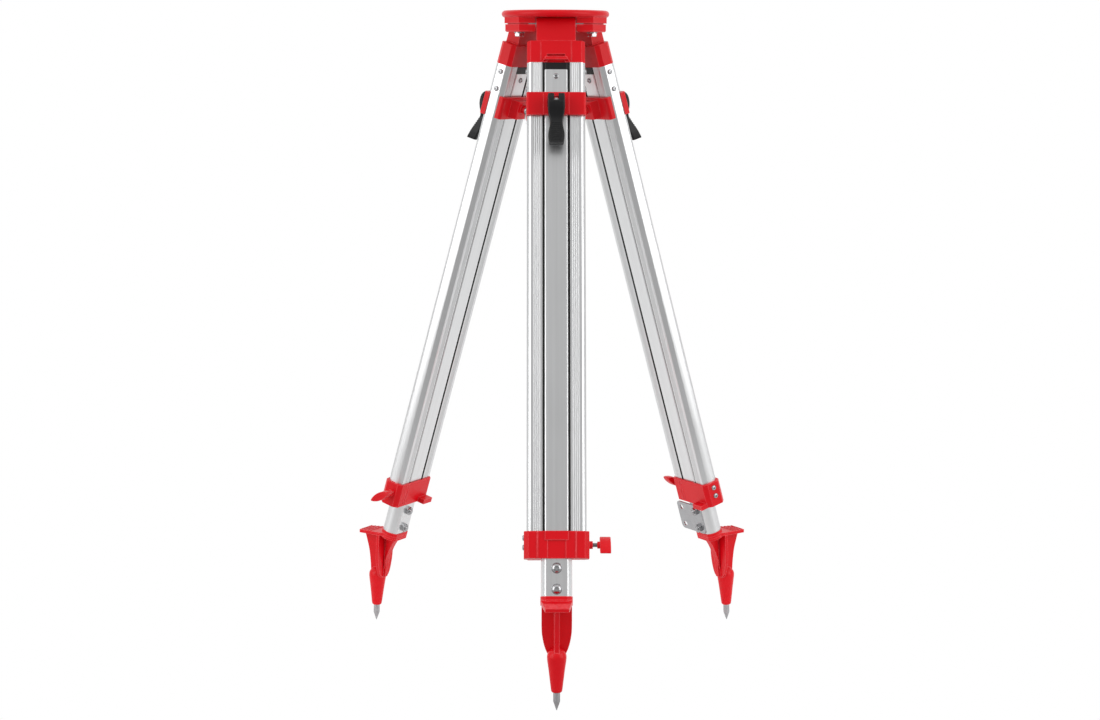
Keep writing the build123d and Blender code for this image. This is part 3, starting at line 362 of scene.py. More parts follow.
@dataclass(frozen=True)
class BlackPlastic(Coating):
    """Black nylon with a fine spark-eroded texture."""

    colour: Colour = (0.004, 0.004, 0.0045)
    bloom: Colour = (0.009, 0.009, 0.010)
    rough: float = 0.38
    # Grey painted highlight on the edges.
    edge_highlight: Colour = (0.035, 0.035, 0.036)
    specular: float = 0.28
    peel_scale: float = 2200.0
    cloud_scale: float = 60.0
    relief: float = 0.30


@dataclass(frozen=True)
class DrawnAluminium:
    """Satin extruded aluminium, its grain running along one direction."""

    name: str
    along: Point3
    colour: Colour = (0.80, 0.805, 0.81)
    dark: Colour = (0.68, 0.685, 0.69)
    rough: float = 0.30
    relief: float = 0.20

    def build(self) -> bpy.types.Material:
        """Make the material."""
        shader = Shader(self.name, self.rough, 1.0)
        grain = shader.group(GROUPS.grain, Along=self.along)
        shader.colour_from(shader.blend_colour(grain.outputs["Streak"], self.dark, self.colour))
        shader.spread(grain.outputs["Cloud"], self.rough - 0.06, self.rough + 0.08, "Roughness")
        shader.relief(grain.outputs["Height"], self.relief, 0.00010)
        return shader.material


@dataclass(frozen=True)
class BrightMetal:
    """Plated, turned or pressed bright metal."""

    name: str
    colour: Colour
    dark: Colour
    rough: float
    relief: float = 0.08

    def build(self) -> bpy.types.Material:
        """Make the material."""
        shader = Shader(self.name, self.rough, 1.0)
        skin = shader.group(GROUPS.skin, Peel_Scale=1800.0, Cloud_Scale=120.0)
        shader.colour_from(shader.blend_colour(skin.outputs["Cloud"], self.dark, self.colour))
        shader.spread(skin.outputs["Cloud"], self.rough + 0.10, self.rough - 0.04, "Roughness")
        shader.relief(skin.outputs["Height"], self.relief, 0.0002)
        return shader.material


@dataclass
class Finishes:
    """Every finish that the whole tripod shares, built once."""

    casting: bpy.types.Material = field(default_factory=RedFinish("red_paint", rough=0.33, coat=0.03).build)
    moulding: bpy.types.Material = field(default_factory=RedFinish("red_nylon", peel_scale=1700.0).build)
    steel: bpy.types.Material = field(
        default_factory=BrightMetal("bright_steel", (0.50, 0.50, 0.51), (0.34, 0.34, 0.35), 0.17).build
    )
    spike: bpy.types.Material = field(
        default_factory=BrightMetal("spike_steel", (0.50, 0.50, 0.51), (0.36, 0.36, 0.37), 0.34, 0.25).build
    )
    zinc: bpy.types.Material = field(
        default_factory=BrightMetal("zinc_plate", (0.62, 0.62, 0.60), (0.42, 0.42, 0.41), 0.30).build
    )
    brass: bpy.types.Material = field(
        default_factory=BrightMetal("turned_brass", (0.74, 0.54, 0.25), (0.58, 0.40, 0.16), 0.22).build
    )
    black: bpy.types.Material = field(default_factory=BlackPlastic("black_nylon").build)
    # Black painted shade for the rails' coves and the gap beside the tube, where only shade falls.
    shade_sheet: bpy.types.Material = field(
        default_factory=BlackPlastic("painted_shade_sheet", (0.003, 0.003, 0.003), (0.006, 0.006, 0.006), 0.6).build
    )


# ------------------------------------------------------------------ making meshes

Polar = Callable[[float], float]


def round_of(radius: float) -> Polar:
    """Outline of a circle."""
    return lambda turn: radius


def polygon_of(apothem: float, sides: int) -> Polar:
    """Outline of a regular polygon, from the middle to the middle of a side."""
    step = 2 * math.pi / sides
    return lambda turn: apothem / math.cos((turn + step / 2) % step - step / 2)


def cross_of(reach: float, half: float) -> Polar:
    """Outline of a plus-shaped recess, with arms of a reach and a half-width."""

    def radius(turn: float) -> float:
        """Distance from the middle to the edge of the longer bar."""
        c, s = max(abs(math.cos(turn)), 1e-6), max(abs(math.sin(turn)), 1e-6)
        return max(min(reach / c, half / s), min(reach / s, half / c))

    return radius


def scalloped(radius: float, flutes: int, depth: float) -> Polar:
    """Outline of a knob with round flutes."""
    return lambda turn: radius - depth * max(0.0, math.cos(flutes * turn)) ** 2


def least(first: Polar, radius: float) -> Polar:
    """Outline cut back to a circle, as on the chamfer of a nut."""
    return lambda turn: min(first(turn), radius)


def curve_through(points: Sequence[Point2], steps: int = 6) -> list[Point2]:
    """Points on a smooth open curve through the given ones."""
    padded = [points[0], *points, points[-1]]
    found: list[Point2] = []
    for a, b, c, d in zip(padded, padded[1:], padded[2:], padded[3:]):
        for k in range(steps):
            t = k / steps
            weights = (
                -0.5 * t + t * t - 0.5 * t**3,
                1 - 2.5 * t * t + 1.5 * t**3,
                0.5 * t + 2 * t * t - 1.5 * t**3,
                -0.5 * t * t + 0.5 * t**3,
            )
            found.append(tuple(sum(w * p[i] for w, p in zip(weights, (a, b, c, d))) for i in (0, 1)))
    found.append(tuple(points[-1]))
    return found


def mirrored(points: Sequence[Point2]) -> list[Point2]:
    """A closed outline from its right half, listed from bottom to top."""
    return [*points, *((-x, y) for x, y in reversed(points) if abs(x) > 1e-9)]


def axes(origin: Point3, x: Point3, y: Point3) -> Matrix:
    """Frame with an origin and the directions of its X and Y."""
    first, second = Vector(x).normalized(), Vector(y).normalized()
    turn = Matrix((first, second, first.cross(second))).transposed().to_4x4()
    return Matrix.Translation(Vector(origin)) @ turn


def read_table(rows: Sequence[Point2], height: float) -> float:
    """Value of a table of heights and values at a height, straight between its falling rows."""
    for (high, a), (low, b) in zip(rows, rows[1:]):
        if height >= low:
            return a + (b - a) * min(1.0, max(0.0, (high - height) / (high - low)))
    return rows[-1][1]


class Form:
    """Closed shells of one piece, gathered in the millimetres of one frame."""

    def __init__(self, place: Matrix) -> None:
        """Start a piece.

        Args:
            place: The frame's place in the row frame, with its scale.
        """
        self.place = place
        self.work = bmesh.new()
        self.finish = 0

    def skin(self, rings: Sequence[Sequence[Vector]], base: Matrix, closed: bool = False) -> None:
        """Join rings of points into a closed shell.

        Args:
            rings: Rings of the same number of points, in the base's frame.
            base: Frame of the rings.
            closed: Whether the last ring joins the first, as on a sleeve. Otherwise both ends are capped.
        """
        loops = [[self.work.verts.new(base @ Vector(p)) for p in ring] for ring in rings]
        pairs = list(zip(loops, loops[1:])) + ([(loops[-1], loops[0])] if closed else [])
        made = []
        for low, high in pairs:
            for k in range(len(low)):
                j = (k + 1) % len(low)
                made.append(self.work.faces.new((low[k], low[j], high[j], high[k])))
        if not closed:
            made.append(self.work.faces.new(list(reversed(loops[0]))))
            made.append(self.work.faces.new(loops[-1]))
        for face in made:
            face.material_index = self.finish
        bmesh.ops.recalc_face_normals(self.work, faces=made)

    def prism(self, outline: Sequence[Point2], low: float, high: float, base: Matrix = Matrix()) -> None:
        """Extrude an outline between two heights."""
        self.skin([[(x, y, z) for x, y in outline] for z in (low, high)], base)

    def block(self, size: Point3, middle: Point3, base: Matrix = Matrix(), lean: float = 0.0) -> None:
        """Make a bar with its upper face drawn in by a lean."""
        a, b, c = (v / 2 for v in size)
        rings = []
        for z, draw in ((-c, 0.0), (c, lean)):
            corners = ((-a, -b), (a, -b), (a, b), (-a, b))
            rings.append([(x - math.copysign(draw, x), y - math.copysign(draw, y), z) for x, y in corners])
        self.skin(rings, base @ Matrix.Translation(Vector(middle)))

    def spun(
        self, rings: Sequence[tuple[float, float | Polar]], base: Matrix = Matrix(), count: int = 48
    ) -> None:
        """Make a shell from rings round Z.

        Args:
            rings: Height of each ring, and its radius or its polar outline.
            base: Frame whose Z is the axis.
            count: Points in each ring.
        """
        turns = [2 * math.pi * k / count for k in range(count)]
        points = []
        for height, radius in rings:
            outline = radius if callable(radius) else round_of(radius)
            points.append([(outline(t) * math.cos(t), outline(t) * math.sin(t), height) for t in turns])
        self.skin(points, base)

    def threaded(self, radius: float, pitch: float, low: float, high: float, base: Matrix = Matrix()) -> None:
        """Make a threaded stem, whose crests run out at both ends."""
        count, steps, depth = 32, 8, 0.61 * pitch
        total = round((high - low) / pitch * steps)
        rings = []
        for k in range(total + 1):
            z = low + (high - low) * k / total
            fade = min(1.0, (z - low) / pitch, (high - z) / pitch)

            def outline(turn: float, z: float = z, fade: float = fade) -> float:
                """Radius of the thread where this ring crosses it."""
                phase = (z / pitch - turn / (2 * math.pi)) % 1.0
                return radius - depth * (1 - fade * (1 - abs(2 * phase - 1)))

            rings.append((z, outline))
        self.spun(rings, base, count)

    def sleeve(self, outer: Sequence[Point2], inner: Sequence[Point2], low: float, high: float) -> None:
        """Make a tube wall between two outlines with the same number of points."""
        rings = [(outer, low), (outer, high), (inner, high), (inner, low)]
        self.skin([[(x, y, z) for x, y in ring] for ring, z in rings], Matrix(), closed=True)

    def take(self, node: str) -> None:
        """Start from the shape of a CAD node, its flat faces merged."""
        mesh = frame["nodes"][node].data.copy()
        mesh.transform(self.place.inverted())
        self.work.from_mesh(mesh)
        bmesh.ops.remove_doubles(self.work, verts=self.work.verts, dist=0.002)
        verts = list(self.work.verts)
        edges = list({e for v in verts for e in v.link_edges})
        bmesh.ops.dissolve_limit(self.work, angle_limit=math.radians(0.7), verts=verts, edges=edges)
        for face in self.work.faces:
            face.material_index = 0
        bpy.data.meshes.remove(mesh)

    def piece(
        self, name: str, materials: Sequence[bpy.types.Material], rounding: float = 0.0, angle: float = 30.0
    ) -> bpy.types.Object:
        """Finish the piece as an object in the row frame.

        Args:
            name: Name of the object.
            materials: Materials, in the order of the finish numbers.
            rounding: Width of its rounded edges in millimetres.
            angle: Least angle between faces that makes an edge, in degrees.

        Returns:
            The new mesh object.
        """
        mesh = bpy.data.meshes.new(name)
        self.work.to_mesh(mesh)
        self.work.free()
        mesh.transform(self.place)
        for material in materials:
            mesh.materials.append(material)
        for polygon in mesh.polygons:
            polygon.use_smooth = True
        mesh.set_sharp_from_angle(angle=math.radians(angle))
        made = bpy.data.objects.new(name, mesh)
        bpy.context.scene.collection.objects.link(made)
        if rounding:
            bevel = made.modifiers.new("rounded_edges", "BEVEL")
            bevel.width = rounding * MM
            bevel.segments = 3
            bevel.limit_method = "ANGLE"
            bevel.angle_limit = math.radians(angle)
            bevel.miter_outer = "MITER_ARC"
            flat = made.modifiers.new("flat_faces", "WEIGHTED_NORMAL")
            flat.keep_sharp = True
            flat.weight = 80
        return made


def stand_in(
    form: Form, node: str, body: str,
    materials: Sequence[bpy.types.Material], rounding: float = 0.0, angle: float = 30.0,
) -> None:
    """Finish a form as the piece that stands for a CAD node, and put it on its body."""
    piece = form.piece(f"{node}_finished", materials, rounding, angle)
    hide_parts(node)
    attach(piece, body)
    log.info("%s stands for %s on %s", piece.name, node, body)


def dress_node(node: str, material: bpy.types.Material) -> None:
    """Give a CAD node one material, in every slot that it has."""
    thing = frame["nodes"][node]
    if not thing.material_slots:
        thing.data.materials.append(material)
    for place in thing.material_slots:
        place.material = material
    log.info("%s keeps its shape", node)


@dataclass(frozen=True)
class Hardware:
    """Standard fasteners, drawn into a form along the Z axis of a frame."""

    pan_radius: float = 4.2
    pan_high: float = 2.2
    nut_flats: float = 13.0
    nut_high: float = 5.3

    def pan_screw(self, form: Form, base: Matrix) -> None:
        """Pan-head screw with a cross recess; its head sits on Z = 0."""
        r, h = self.pan_radius, self.pan_high
        form.spun(
            [
                (-1.5, 2.0), (-0.05, 2.0), (0.0, r - 0.25), (0.2, r), (0.75, r * 0.99), (1.25, r * 0.93),
                (1.7, r * 0.80), (2.0, r * 0.66), (h, r * 0.52), (h + 0.02, cross_of(1.95, 0.55)),
                (h - 0.5, cross_of(1.7, 0.48)), (h - 1.5, cross_of(0.9, 0.35)),
            ],
            base,
            96,
        )

    def button_bolt(self, form: Form, base: Matrix) -> None:
        """Button-head M8 bolt with a hexagon recess, on a thin washer; it sits on Z = 0."""
        form.spun([(0.0, 7.8), (0.15, 8.0), (0.75, 8.0), (0.9, 7.8)], base)
        form.spun(
            [
                (0.6, 4.0), (0.88, 6.6), (0.95, 6.95), (1.3, 7.0), (2.2, 6.6), (3.1, 5.75), (3.8, 4.7),
                (4.2, 3.7), (4.4, 3.1), (4.42, polygon_of(2.5, 6)), (4.1, polygon_of(2.4, 6)),
                (1.9, polygon_of(2.35, 6)), (1.5, 0.6),
            ],
            base,
            96,
        )

    def hex_nut(self, form: Form, base: Matrix, stem: float = 4.0, out: float = 2.2) -> None:
        """Chamfered hexagon nut on Z = 0, with the end of its bolt standing out of it."""
        hexagon = polygon_of(self.nut_flats / 2, 6)
        tip = self.nut_flats / 2
        form.spun(
            [
                (0.0, tip), (0.45, least(hexagon, tip + 0.55)), (0.75, hexagon),
                (self.nut_high - 0.75, hexagon), (self.nut_high - 0.45, least(hexagon, tip + 0.55)),
                (self.nut_high, tip - 0.1), (self.nut_high - 0.05, stem + 0.35),
                (self.nut_high - 0.8, stem - 0.2),
            ],
            base,
            96,
        )
        form.threaded(stem, 1.25, self.nut_high - 3.0, self.nut_high + out, base)


HARDWARE = Hardware()

# ------------------------------------------------------------------ placing


@dataclass(frozen=True)
class LegFrame:
    """A leg's own frame: X across, Y inwards, Z up the leg, in millimetres from its hinge pin."""

    side: Side
    matrix: Matrix

    @classmethod
    def of(cls, side: Side) -> "LegFrame":
        """Read the leg's place from its hinge and its slide."""
        joints = {joint["name"]: joint for joint in frame["joints"]}
        hinge = joints[f"leg_swing_{side.value}"]
        across = -Vector(hinge["axis"]).normalized()
        up = -Vector(joints[f"leg_slide_{side.value}"]["axis"]).normalized()
        turn = Matrix((across, up.cross(across), up)).transposed().to_4x4()
        return cls(side, Matrix.Translation(Vector(hinge["pos_m"])) @ turn @ Matrix.Scale(MM, 4))

    def name(self, part: str) -> str:
        """This leg's name for a node or a body."""
        return f"{part}_{self.side.value}"

    @property
    def along(self) -> Point3:
        """Direction of the leg in the row frame."""
        return tuple((self.matrix.to_3x3() @ Vector((0, 0, 1))).normalized())

    def form(self) -> Form:
        """Start a piece in this leg's millimetres."""
        return Form(self.matrix)


def facing_out(x: float, y: float, station: float) -> Matrix:
    """Frame on an outer face of the leg, its Z pointing outwards."""
    return axes((x, y, -station), (1, 0, 0), (0, 0, 1))


def facing_in(x: float, y: float, station: float) -> Matrix:
    """Frame on an inner face of the leg, its Z pointing inwards."""
    return axes((x, y, -station), (-1, 0, 0), (0, 0, 1))


def facing_side(x: float, y: float, station: float) -> Matrix:
    """Frame on a side of the leg, its Z pointing away from the middle."""
    return axes((x, y, -station), (0, math.copysign(1.0, x), 0), (0, 0, 1))


# ------------------------------------------------------------------ the head


@dataclass
class Head:
    """Head plate, hinge caps, their bolts, and the fixing screw on its arm."""

    finishes: Finishes
    rounding: float = 0.6
    bolt_radius: float = 64.0
    washer_radius: float = 8.0
    screw_radius: float = 7.94
    thread_pitch: float = 25.4 / 11
    knob_radius: float = 24.0
    knob_high: float = 34.0
    shank_radius: float = 7.4

    def build(self) -> None:
        """Make and dress every piece of the head."""
        for node in ("head_plate", "hinge_caps"):
            form = self._form()
            form.take(node)
            stand_in(form, node, "head", [self.finishes.casting], self.rounding)
        self._cap_bolts()
        self._fixing_screw()
        self._knob()
        for node in ("hinge_pins", "arm_pivot", "plumb_hook"):
            dress_node(node, self.finishes.steel)
        for node in ("swing_arm", "screw_carriage"):
            dress_node(node, self.finishes.zinc)
        dress_node("screw_bush", self.finishes.brass)

    @staticmethod
    def _form() -> Form:
        """Start a piece in millimetres of the row frame."""
        return Form(Matrix.Scale(MM, 4))

    def _cap_bolts(self) -> None:
        """Three nuts with washers under the caps."""
        form = self._form()
        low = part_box("hinge_caps")[0].z / MM
        for turn in (90.0, 210.0, 330.0):
            angle = math.radians(turn)
            x, y = self.bolt_radius * math.cos(angle), self.bolt_radius * math.sin(angle)
            base = axes((x, y, low), (1, 0, 0), (0, -1, 0))
            form.spun([(-18.0, 4.0), (0.0, 4.0)], base, 24)
            form.spun([(0.0, 7.8), (0.15, self.washer_radius), (1.4, self.washer_radius), (1.6, 7.8)], base)
            HARDWARE.hex_nut(form, base @ Matrix.Translation((0, 0, 1.6)), out=-0.4)
        stand_in(form, "cap_bolts", "head", [self.finishes.steel])

    def _fixing_screw(self) -> None:
        """Brass instrument screw with its thread, collar and shank."""
        low, high = (corner.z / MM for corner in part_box("fixing_screw"))
        knob_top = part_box("screw_knob")[1].z / MM
        thread_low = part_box("screw_bush")[1].z / MM + 2.0
        form = self._form()
        form.spun([(low, self.shank_radius), (thread_low, self.shank_radius)])
        form.spun([(knob_top, 12.6), (knob_top + 0.4, 13.0), (knob_top + 3.6, 13.0), (knob_top + 4.0, 12.6)])
        form.threaded(self.screw_radius, self.thread_pitch, thread_low, high - 0.4)
        form.spun([(high - 2.0, 6.4), (high - 0.8, 6.4), (high, 5.6)])
        stand_in(form, "fixing_screw", "screw", [self.finishes.brass])

    def _knob(self) -> None:
        """Fluted black knob with a dished underside."""
        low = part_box("screw_knob")[0].z / MM
        form = self._form()

        def fluted(shrink: float, depth: float = 3.0) -> Polar:
            """Outline of the grip, drawn in by an amount."""
            return scalloped(self.knob_radius - shrink, 8, depth)

        form.spun(
            [
                (low + 1.2, 7.0), (low + 1.0, 15.0), (low, 17.0), (low, 19.0), (low + 0.5, fluted(2.6, 2.4)),
                (low + 2.2, fluted(0.6)), (low + 4.5, fluted(0.0)), (low + 29.5, fluted(0.0)),
                (low + 31.8, fluted(0.7)), (low + 33.4, fluted(2.4, 2.4)),
                (low + self.knob_high, 18.0), (low + self.knob_high, self.shank_radius),
            ],
            count=96,
        )
        stand_in(form, "screw_knob", "screw", [self.finishes.black])


# ------------------------------------------------------------------ the leg's extrusions


@dataclass
class Extrusions:
    """Section sizes of the side rails and of the tube that slides between them."""

    outer_face: float = -11.2
    inner_face: float = 16.4
    rail_half: float = 43.7
    rail_edge: float = 20.4
    groove_radius: float = 0.85
    groove_first: float = 24.4
    groove_pitch: float = 2.9
    groove_count: int = 4
    tube_flat: float = 15.5
    tube_half: float = 22.8
    tube_deep: float = 14.0
    tube_middle: float = 2.0

    def tube_outline(self, grow: float = 0.0, steps: int = 16) -> list[Point2]:
        """Section of the tube: flat front and back, rounded sides."""
        rise = self.tube_half - self.tube_flat
        radius = (rise**2 + self.tube_deep**2) / (2 * rise)
        middle = self.tube_half - radius
        reach = math.asin(self.tube_deep / radius)
        arc = [-reach + 2 * reach * k / steps for k in range(steps + 1)]
        right = [(middle + (radius + grow) * math.cos(a), (radius + grow) * math.sin(a)) for a in arc]
        right[0] = (right[0][0], -self.tube_deep - grow)
        right[-1] = (right[-1][0], self.tube_deep + grow)
        both = [*right, *((-x, -y) for x, y in right)]
        return [(x, y + self.tube_middle) for x, y in both]

    def _fluted_edge(self, face: float, inwards: float) -> list[Point2]:
        """Points of a rail's face with its flutes, from the rail's inner edge outwards."""
        found: list[Point2] = []
        for k in range(self.groove_count):
            x = self.groove_first + self.groove_pitch * k
            for step in range(7):
                a = math.pi * (1 - step / 6)
                depth = self.groove_radius * math.sin(a) * 0.75
                found.append((x + self.groove_radius * math.cos(a), face + inwards * depth))
        return found

    def shade_strip_outlines(self) -> tuple[list[Point2], list[Point2]]:
        """Sections of two dark strips of painted shade, outside and inside, that close the gap beside the
        tube.
        """
        middle, rail = self.tube_middle, self.rail_edge + 0.1
        outside = [(18.1, -10.9), (rail, -10.9), (rail, -6.9), (18.3, -9.8)]
        inside = [(x, 2 * middle - y + 0.6) for x, y in outside[:2]]
        inside += [(x, 2 * middle - y) for x, y in outside[2:]]
        return outside, inside

    def rail_outline(self) -> tuple[list[Point2], range]:
        """Section of the right rail, and which of its edges face the tube and take the black painted shade.
        """
        out, inn, half, edge = self.outer_face, self.inner_face, self.rail_half, self.rail_edge
        front = [
            (edge, out + 0.5), (edge + 0.5, out), *self._fluted_edge(out, 1.0), (half - 5.9, out),
            (half - 5.1, out + 0.25), (half - 0.25, out + 5.1), (half, out + 5.9),
        ]
        back = [
            (half, inn - 8.1), (half - 0.3, inn - 7.3), (half - 3.3, inn - 0.35), (half - 4.0, inn),
            *reversed(self._fluted_edge(inn, -1.0)), (edge + 0.5, inn), (edge, inn - 0.5),
        ]
        cove = [(edge, 9.6), (23.6, 7.2), (24.0, self.tube_middle), (23.6, -3.2), (edge, -5.6)]
        outline = [*front, *back, *cove]
        first = len(front) + len(back) - 1
        return outline, range(first, len(outline))


# ------------------------------------------------------------------ the leg


@dataclass
class Leg:
    """One leg: hinge casting, rails, both clamps, extension tube and foot."""

    place: LegFrame
    finishes: Finishes
    section: Extrusions = field(default_factory=Extrusions)
    shoulder_bottom: float = 63.6
    rail_end: float = 795.0
    rail_screws: tuple[float, ...] = (74.8, 101.9)
    clamp_half: float = 47.7
    clamp_side_screws: tuple[float, ...] = (777.0, 791.0)
    clamp_screw: float = 787.3
    clamp_screw_radius: float = 3.5
    guide_screw: float = 85.3
    foot_bolts: tuple[float, ...] = (821.5, 851.9)
    outer_tube_face: float = -12.0
    inner_tube_face: float = 16.0
    tube_middle: float = 2.0
    jaw_bolt: float = 126.6
    bolt_end: float = 46.5
    nut_seat: float = 38.8
    lever_pin_y: float = -28.0
    lever_half: float = 12.5
    lever_outer: tuple[Point2, ...] = (
        (8.6, -7.0), (3.6, -11.0), (-3.0, -12.4), (-12.0, -11.4), (-24.0, -6.9), (-31.0, -6.2), (-42.0, -9.2),
        (-56.0, -14.2), (-69.6, -19.0),
    )
    lever_inner: tuple[Point2, ...] = (
        (8.6, 3.2), (3.0, 9.2), (-8.0, 9.4), (-17.0, 8.7), (-30.0, 4.1), (-40.0, 3.5), (-56.0, 0.9),
        (-71.4, -3.3),
    )
    lever_halves: tuple[Point2, ...] = (
        (10.0, 12.4), (-18.0, 12.4), (-26.0, 10.8), (-32.0, 9.1), (-42.0, 9.9), (-52.0, 11.9), (-58.0, 12.3),
        (-66.0, 11.4), (-71.6, 10.1),
    )
    wing_start: float = 63.3
    wing_long: float = 15.8
    wing_half: float = 19.0
    wing_thick: float = 12.0
    wing_tilt: float = 42.0

    def build(self) -> None:
        """Make and dress every piece of the leg."""
        self.drawn = DrawnAluminium(self.place.name("drawn_aluminium"), self.place.along).build()
        self._hinge_casting()
        self._rails()
        dress_node(self.place.name("inner_tube"), self.drawn)
        self._rail_screws()
        self._rounded_parts()
        self._clamp_bolt()
        self._wing_nut()
        self._lever()
        self._lower_clamp()
        self._clamp_screw()
        self._wing_knob()
        self._tube_fasteners()

    def _finish(
        self, form: Form, part: str, body: str,
        materials: Sequence[bpy.types.Material], rounding: float = 0.0, angle: float = 30.0,
    ) -> None:
        """Turn a form into the piece that stands for one of this leg's nodes."""
        stand_in(form, self.place.name(part), self.place.name(body), materials, rounding, angle)

    def _hinge_casting(self) -> None:
        """Red hinge casting with two fine beads down its shoulder."""
        form = self.place.form()
        form.take(self.place.name("hinge_casting"))
        for x in (-23.0, 23.0):
            form.block((0.7, 0.6, 29.0), (x, self.section.outer_face, -46.0))
        self._finish(form, "hinge_casting", "leg", [self.finishes.moulding], 0.5)

    def _rails(self) -> None:
        """Two fluted rails, with black painted shade on the coves that face the tube and on two strips that
        close the gap beside it.
        """
        outline, shaded_faces = self.section.rail_outline()
        form = self.place.form()
        for side in (1, -1):
            points = [(side * x, y) for x, y in outline]
            first = len(form.work.faces)
            form.prism(points, -self.rail_end, -self.shoulder_bottom)
            form.work.faces.ensure_lookup_table()
            # The cove faces beside the tube take the black painted shade.
            for k in shaded_faces:
                form.work.faces[first + k].material_index = 1
            # Two dark strips of painted shade close the gap beside the tube.
            form.finish = 1
            for strip in self.section.shade_strip_outlines():
                form.prism([(side * x, y) for x, y in strip], -self.rail_end + 1.0, -self.shoulder_bottom)
            form.finish = 0
        self._finish(form, "side_rails", "leg", [self.drawn, self.finishes.shade_sheet], angle=40.0)

    def _rail_screws(self) -> None:
        """Cross-head screws in the sides of the rails and of the lower clamp."""
        form = self.place.form()
        for station in self.rail_screws:
            for x in (-self.section.rail_half, self.section.rail_half):
                HARDWARE.pan_screw(form, facing_side(x, self.tube_middle, station))
        for station in self.clamp_side_screws:
            HARDWARE.pan_screw(form, facing_side(-self.clamp_half, self.tube_middle, station))
        self._finish(form, "rail_screws", "leg", [self.finishes.steel], angle=35.0)

    def _rounded_parts(self) -> None:
        """Guide plug and both jaws of the quick clamp, which keep the CAD's shape and get rounded edges."""
        red, black = self.finishes.moulding, self.finishes.black
        for part, body, slot, material, rounding in (
            ("slide_guide", "extension", Slot.BLACK, black, 0.4),
            ("front_jaw", "extension", Slot.RED_MOULDING, red, 0.45),
            ("rear_jaw", "jaw", Slot.RED_MOULDING, red, 0.6),
        ):
            form = self.place.form()
            form.take(self.place.name(part))
            self._finish(form, part, body, [material], rounding)

    def _clamp_bolt(self) -> None:
        """Through bolt with its eye, cross pin and threaded end."""
        form = self.place.form()
        base = axes((0, 0, -self.jaw_bolt), (-1, 0, 0), (0, 0, 1))
        form.spun([(-22.6, 2.6), (-21.6, 3.0), (31.0, 3.0), (31.5, 2.6)], base, 32)
        form.threaded(3.0, 1.0, 31.0, self.bolt_end - 0.8, base)
        form.spun([(self.bolt_end - 1.6, 2.4), (self.bolt_end - 0.6, 2.4), (self.bolt_end, 1.8)], base, 32)
        pin = axes((0, self.lever_pin_y, -self.jaw_bolt), (0, 1, 0), (0, 0, 1))
        form.spun([(-2.4, 2.9), (-1.9, 3.4), (1.9, 3.4), (2.4, 2.9)], pin, 32)
        form.block((4.8, 4.4, 4.6), (0, self.lever_pin_y + 3.8, -self.jaw_bolt))
        half = self.lever_half
        form.spun([(-half, 1.6), (0.4 - half, 2.0), (half - 0.4, 2.0), (half, 1.6)], pin, 32)
        self._finish(form, "clamp_bolt", "jaw", [self.finishes.steel])

    def _wing_nut(self) -> None:
        """Wing nut with two swept wings."""
        form = self.place.form()
        base = axes((0, 0, -self.jaw_bolt), (-1, 0, 0), (0, 0, 1))
        seat = self.nut_seat
        form.spun(
            [
                (seat, 5.3), (seat + 0.4, 5.5), (seat + 2.0, 5.4), (seat + 4.4, 4.7), (seat + 5.0, 4.2),
                (seat + 5.2, 3.4), (seat + 4.0, 3.1),
            ],
            base,
            40,
        )
        wing = [
            *curve_through([(seat + 0.4, 3.5), (seat + 0.5, 8.0), (seat + 1.9, 14.0), (seat + 5.6, 19.6)], 5),
            *curve_through([(seat + 7.0, 20.0), (seat + 8.2, 19.0), (seat + 7.6, 16.4)], 4),
            *curve_through([(seat + 5.4, 12.4), (seat + 4.3, 8.0), (seat + 4.2, 3.5)], 5),
        ]
        side = Matrix(((0, 0, 1, 0), (1, 0, 0, 0), (0, 1, 0, -self.jaw_bolt), (0, 0, 0, 1)))
        for sign in (1, -1):
            form.prism([(y, sign * z) for y, z in wing], -1.4, 1.4, side)
        self._finish(form, "wing_nut", "wing_nut", [self.finishes.steel], 0.7, 45.0)

    @staticmethod
    def _lever_slice(
        station: float, half: float, outer: float, inner: float, middle: float = 0.0
    ) -> list[Point3]:
        """Rounded cross-section of the lever at a station."""
        corner = min(2.2, (inner - outer) * 0.38, half * 0.6)
        found = []
        for x, y, start in ((1, 1, 0), (-1, 1, 90), (-1, -1, 180), (1, -1, 270)):
            centre = (middle + x * (half - corner), (inner - corner) if y > 0 else (outer + corner))
            for k in range(5):
                a = math.radians(start + 22.5 * k)
                found.append((centre[0] + corner * math.cos(a), centre[1] + corner * math.sin(a), -station))
        return found

    def _lever(self) -> None:
        """Black cam lever: two round cheeks on the pin, a narrow waist and a ribbed handle."""
        form = self.place.form()
        pin = self.lever_pin_y
        profile = curve_through(self.lever_outer, 5)
        for side in (-1, 1):
            rings = []
            for height in (8.4, 7.0, 4.5, 1.5, -2.0, -5.5):
                outer, inner = pin + read_table(profile, height), pin + read_table(self.lever_inner, height)
                rings.append(self._lever_slice(self.jaw_bolt - height, 4.6, outer, inner, side * 7.8))
            form.skin(rings, Matrix())
            cam = axes((side * 7.8, pin + 1.2, -self.jaw_bolt), (0, 1, 0), (0, 0, 1))
            form.spun([(-4.6, 9.3), (-4.0, 9.95), (4.0, 9.95), (4.6, 9.3)], cam, 64)
        rings = []
        for k in range(34):
            height = -4.2 - 2.0 * k
            outer, inner = pin + read_table(profile, height), pin + read_table(self.lever_inner, height)
            half = read_table(self.lever_halves, height)
            rings.append(self._lever_slice(self.jaw_bolt - height, half, outer, inner))
        form.skin(rings, Matrix())
        for k in range(9):
            height = -37.0 - 3.4 * k
            half = 7.4 + 1.9 * math.sin(math.pi * (k + 1) / 10)
            y = pin + read_table(profile, height) - 0.1
            form.block((2 * half, 1.6, 1.4), (0, y, height - self.jaw_bolt))
        self._finish(form, "cam_lever", "lever", [self.finishes.black], 0.3, 50.0)

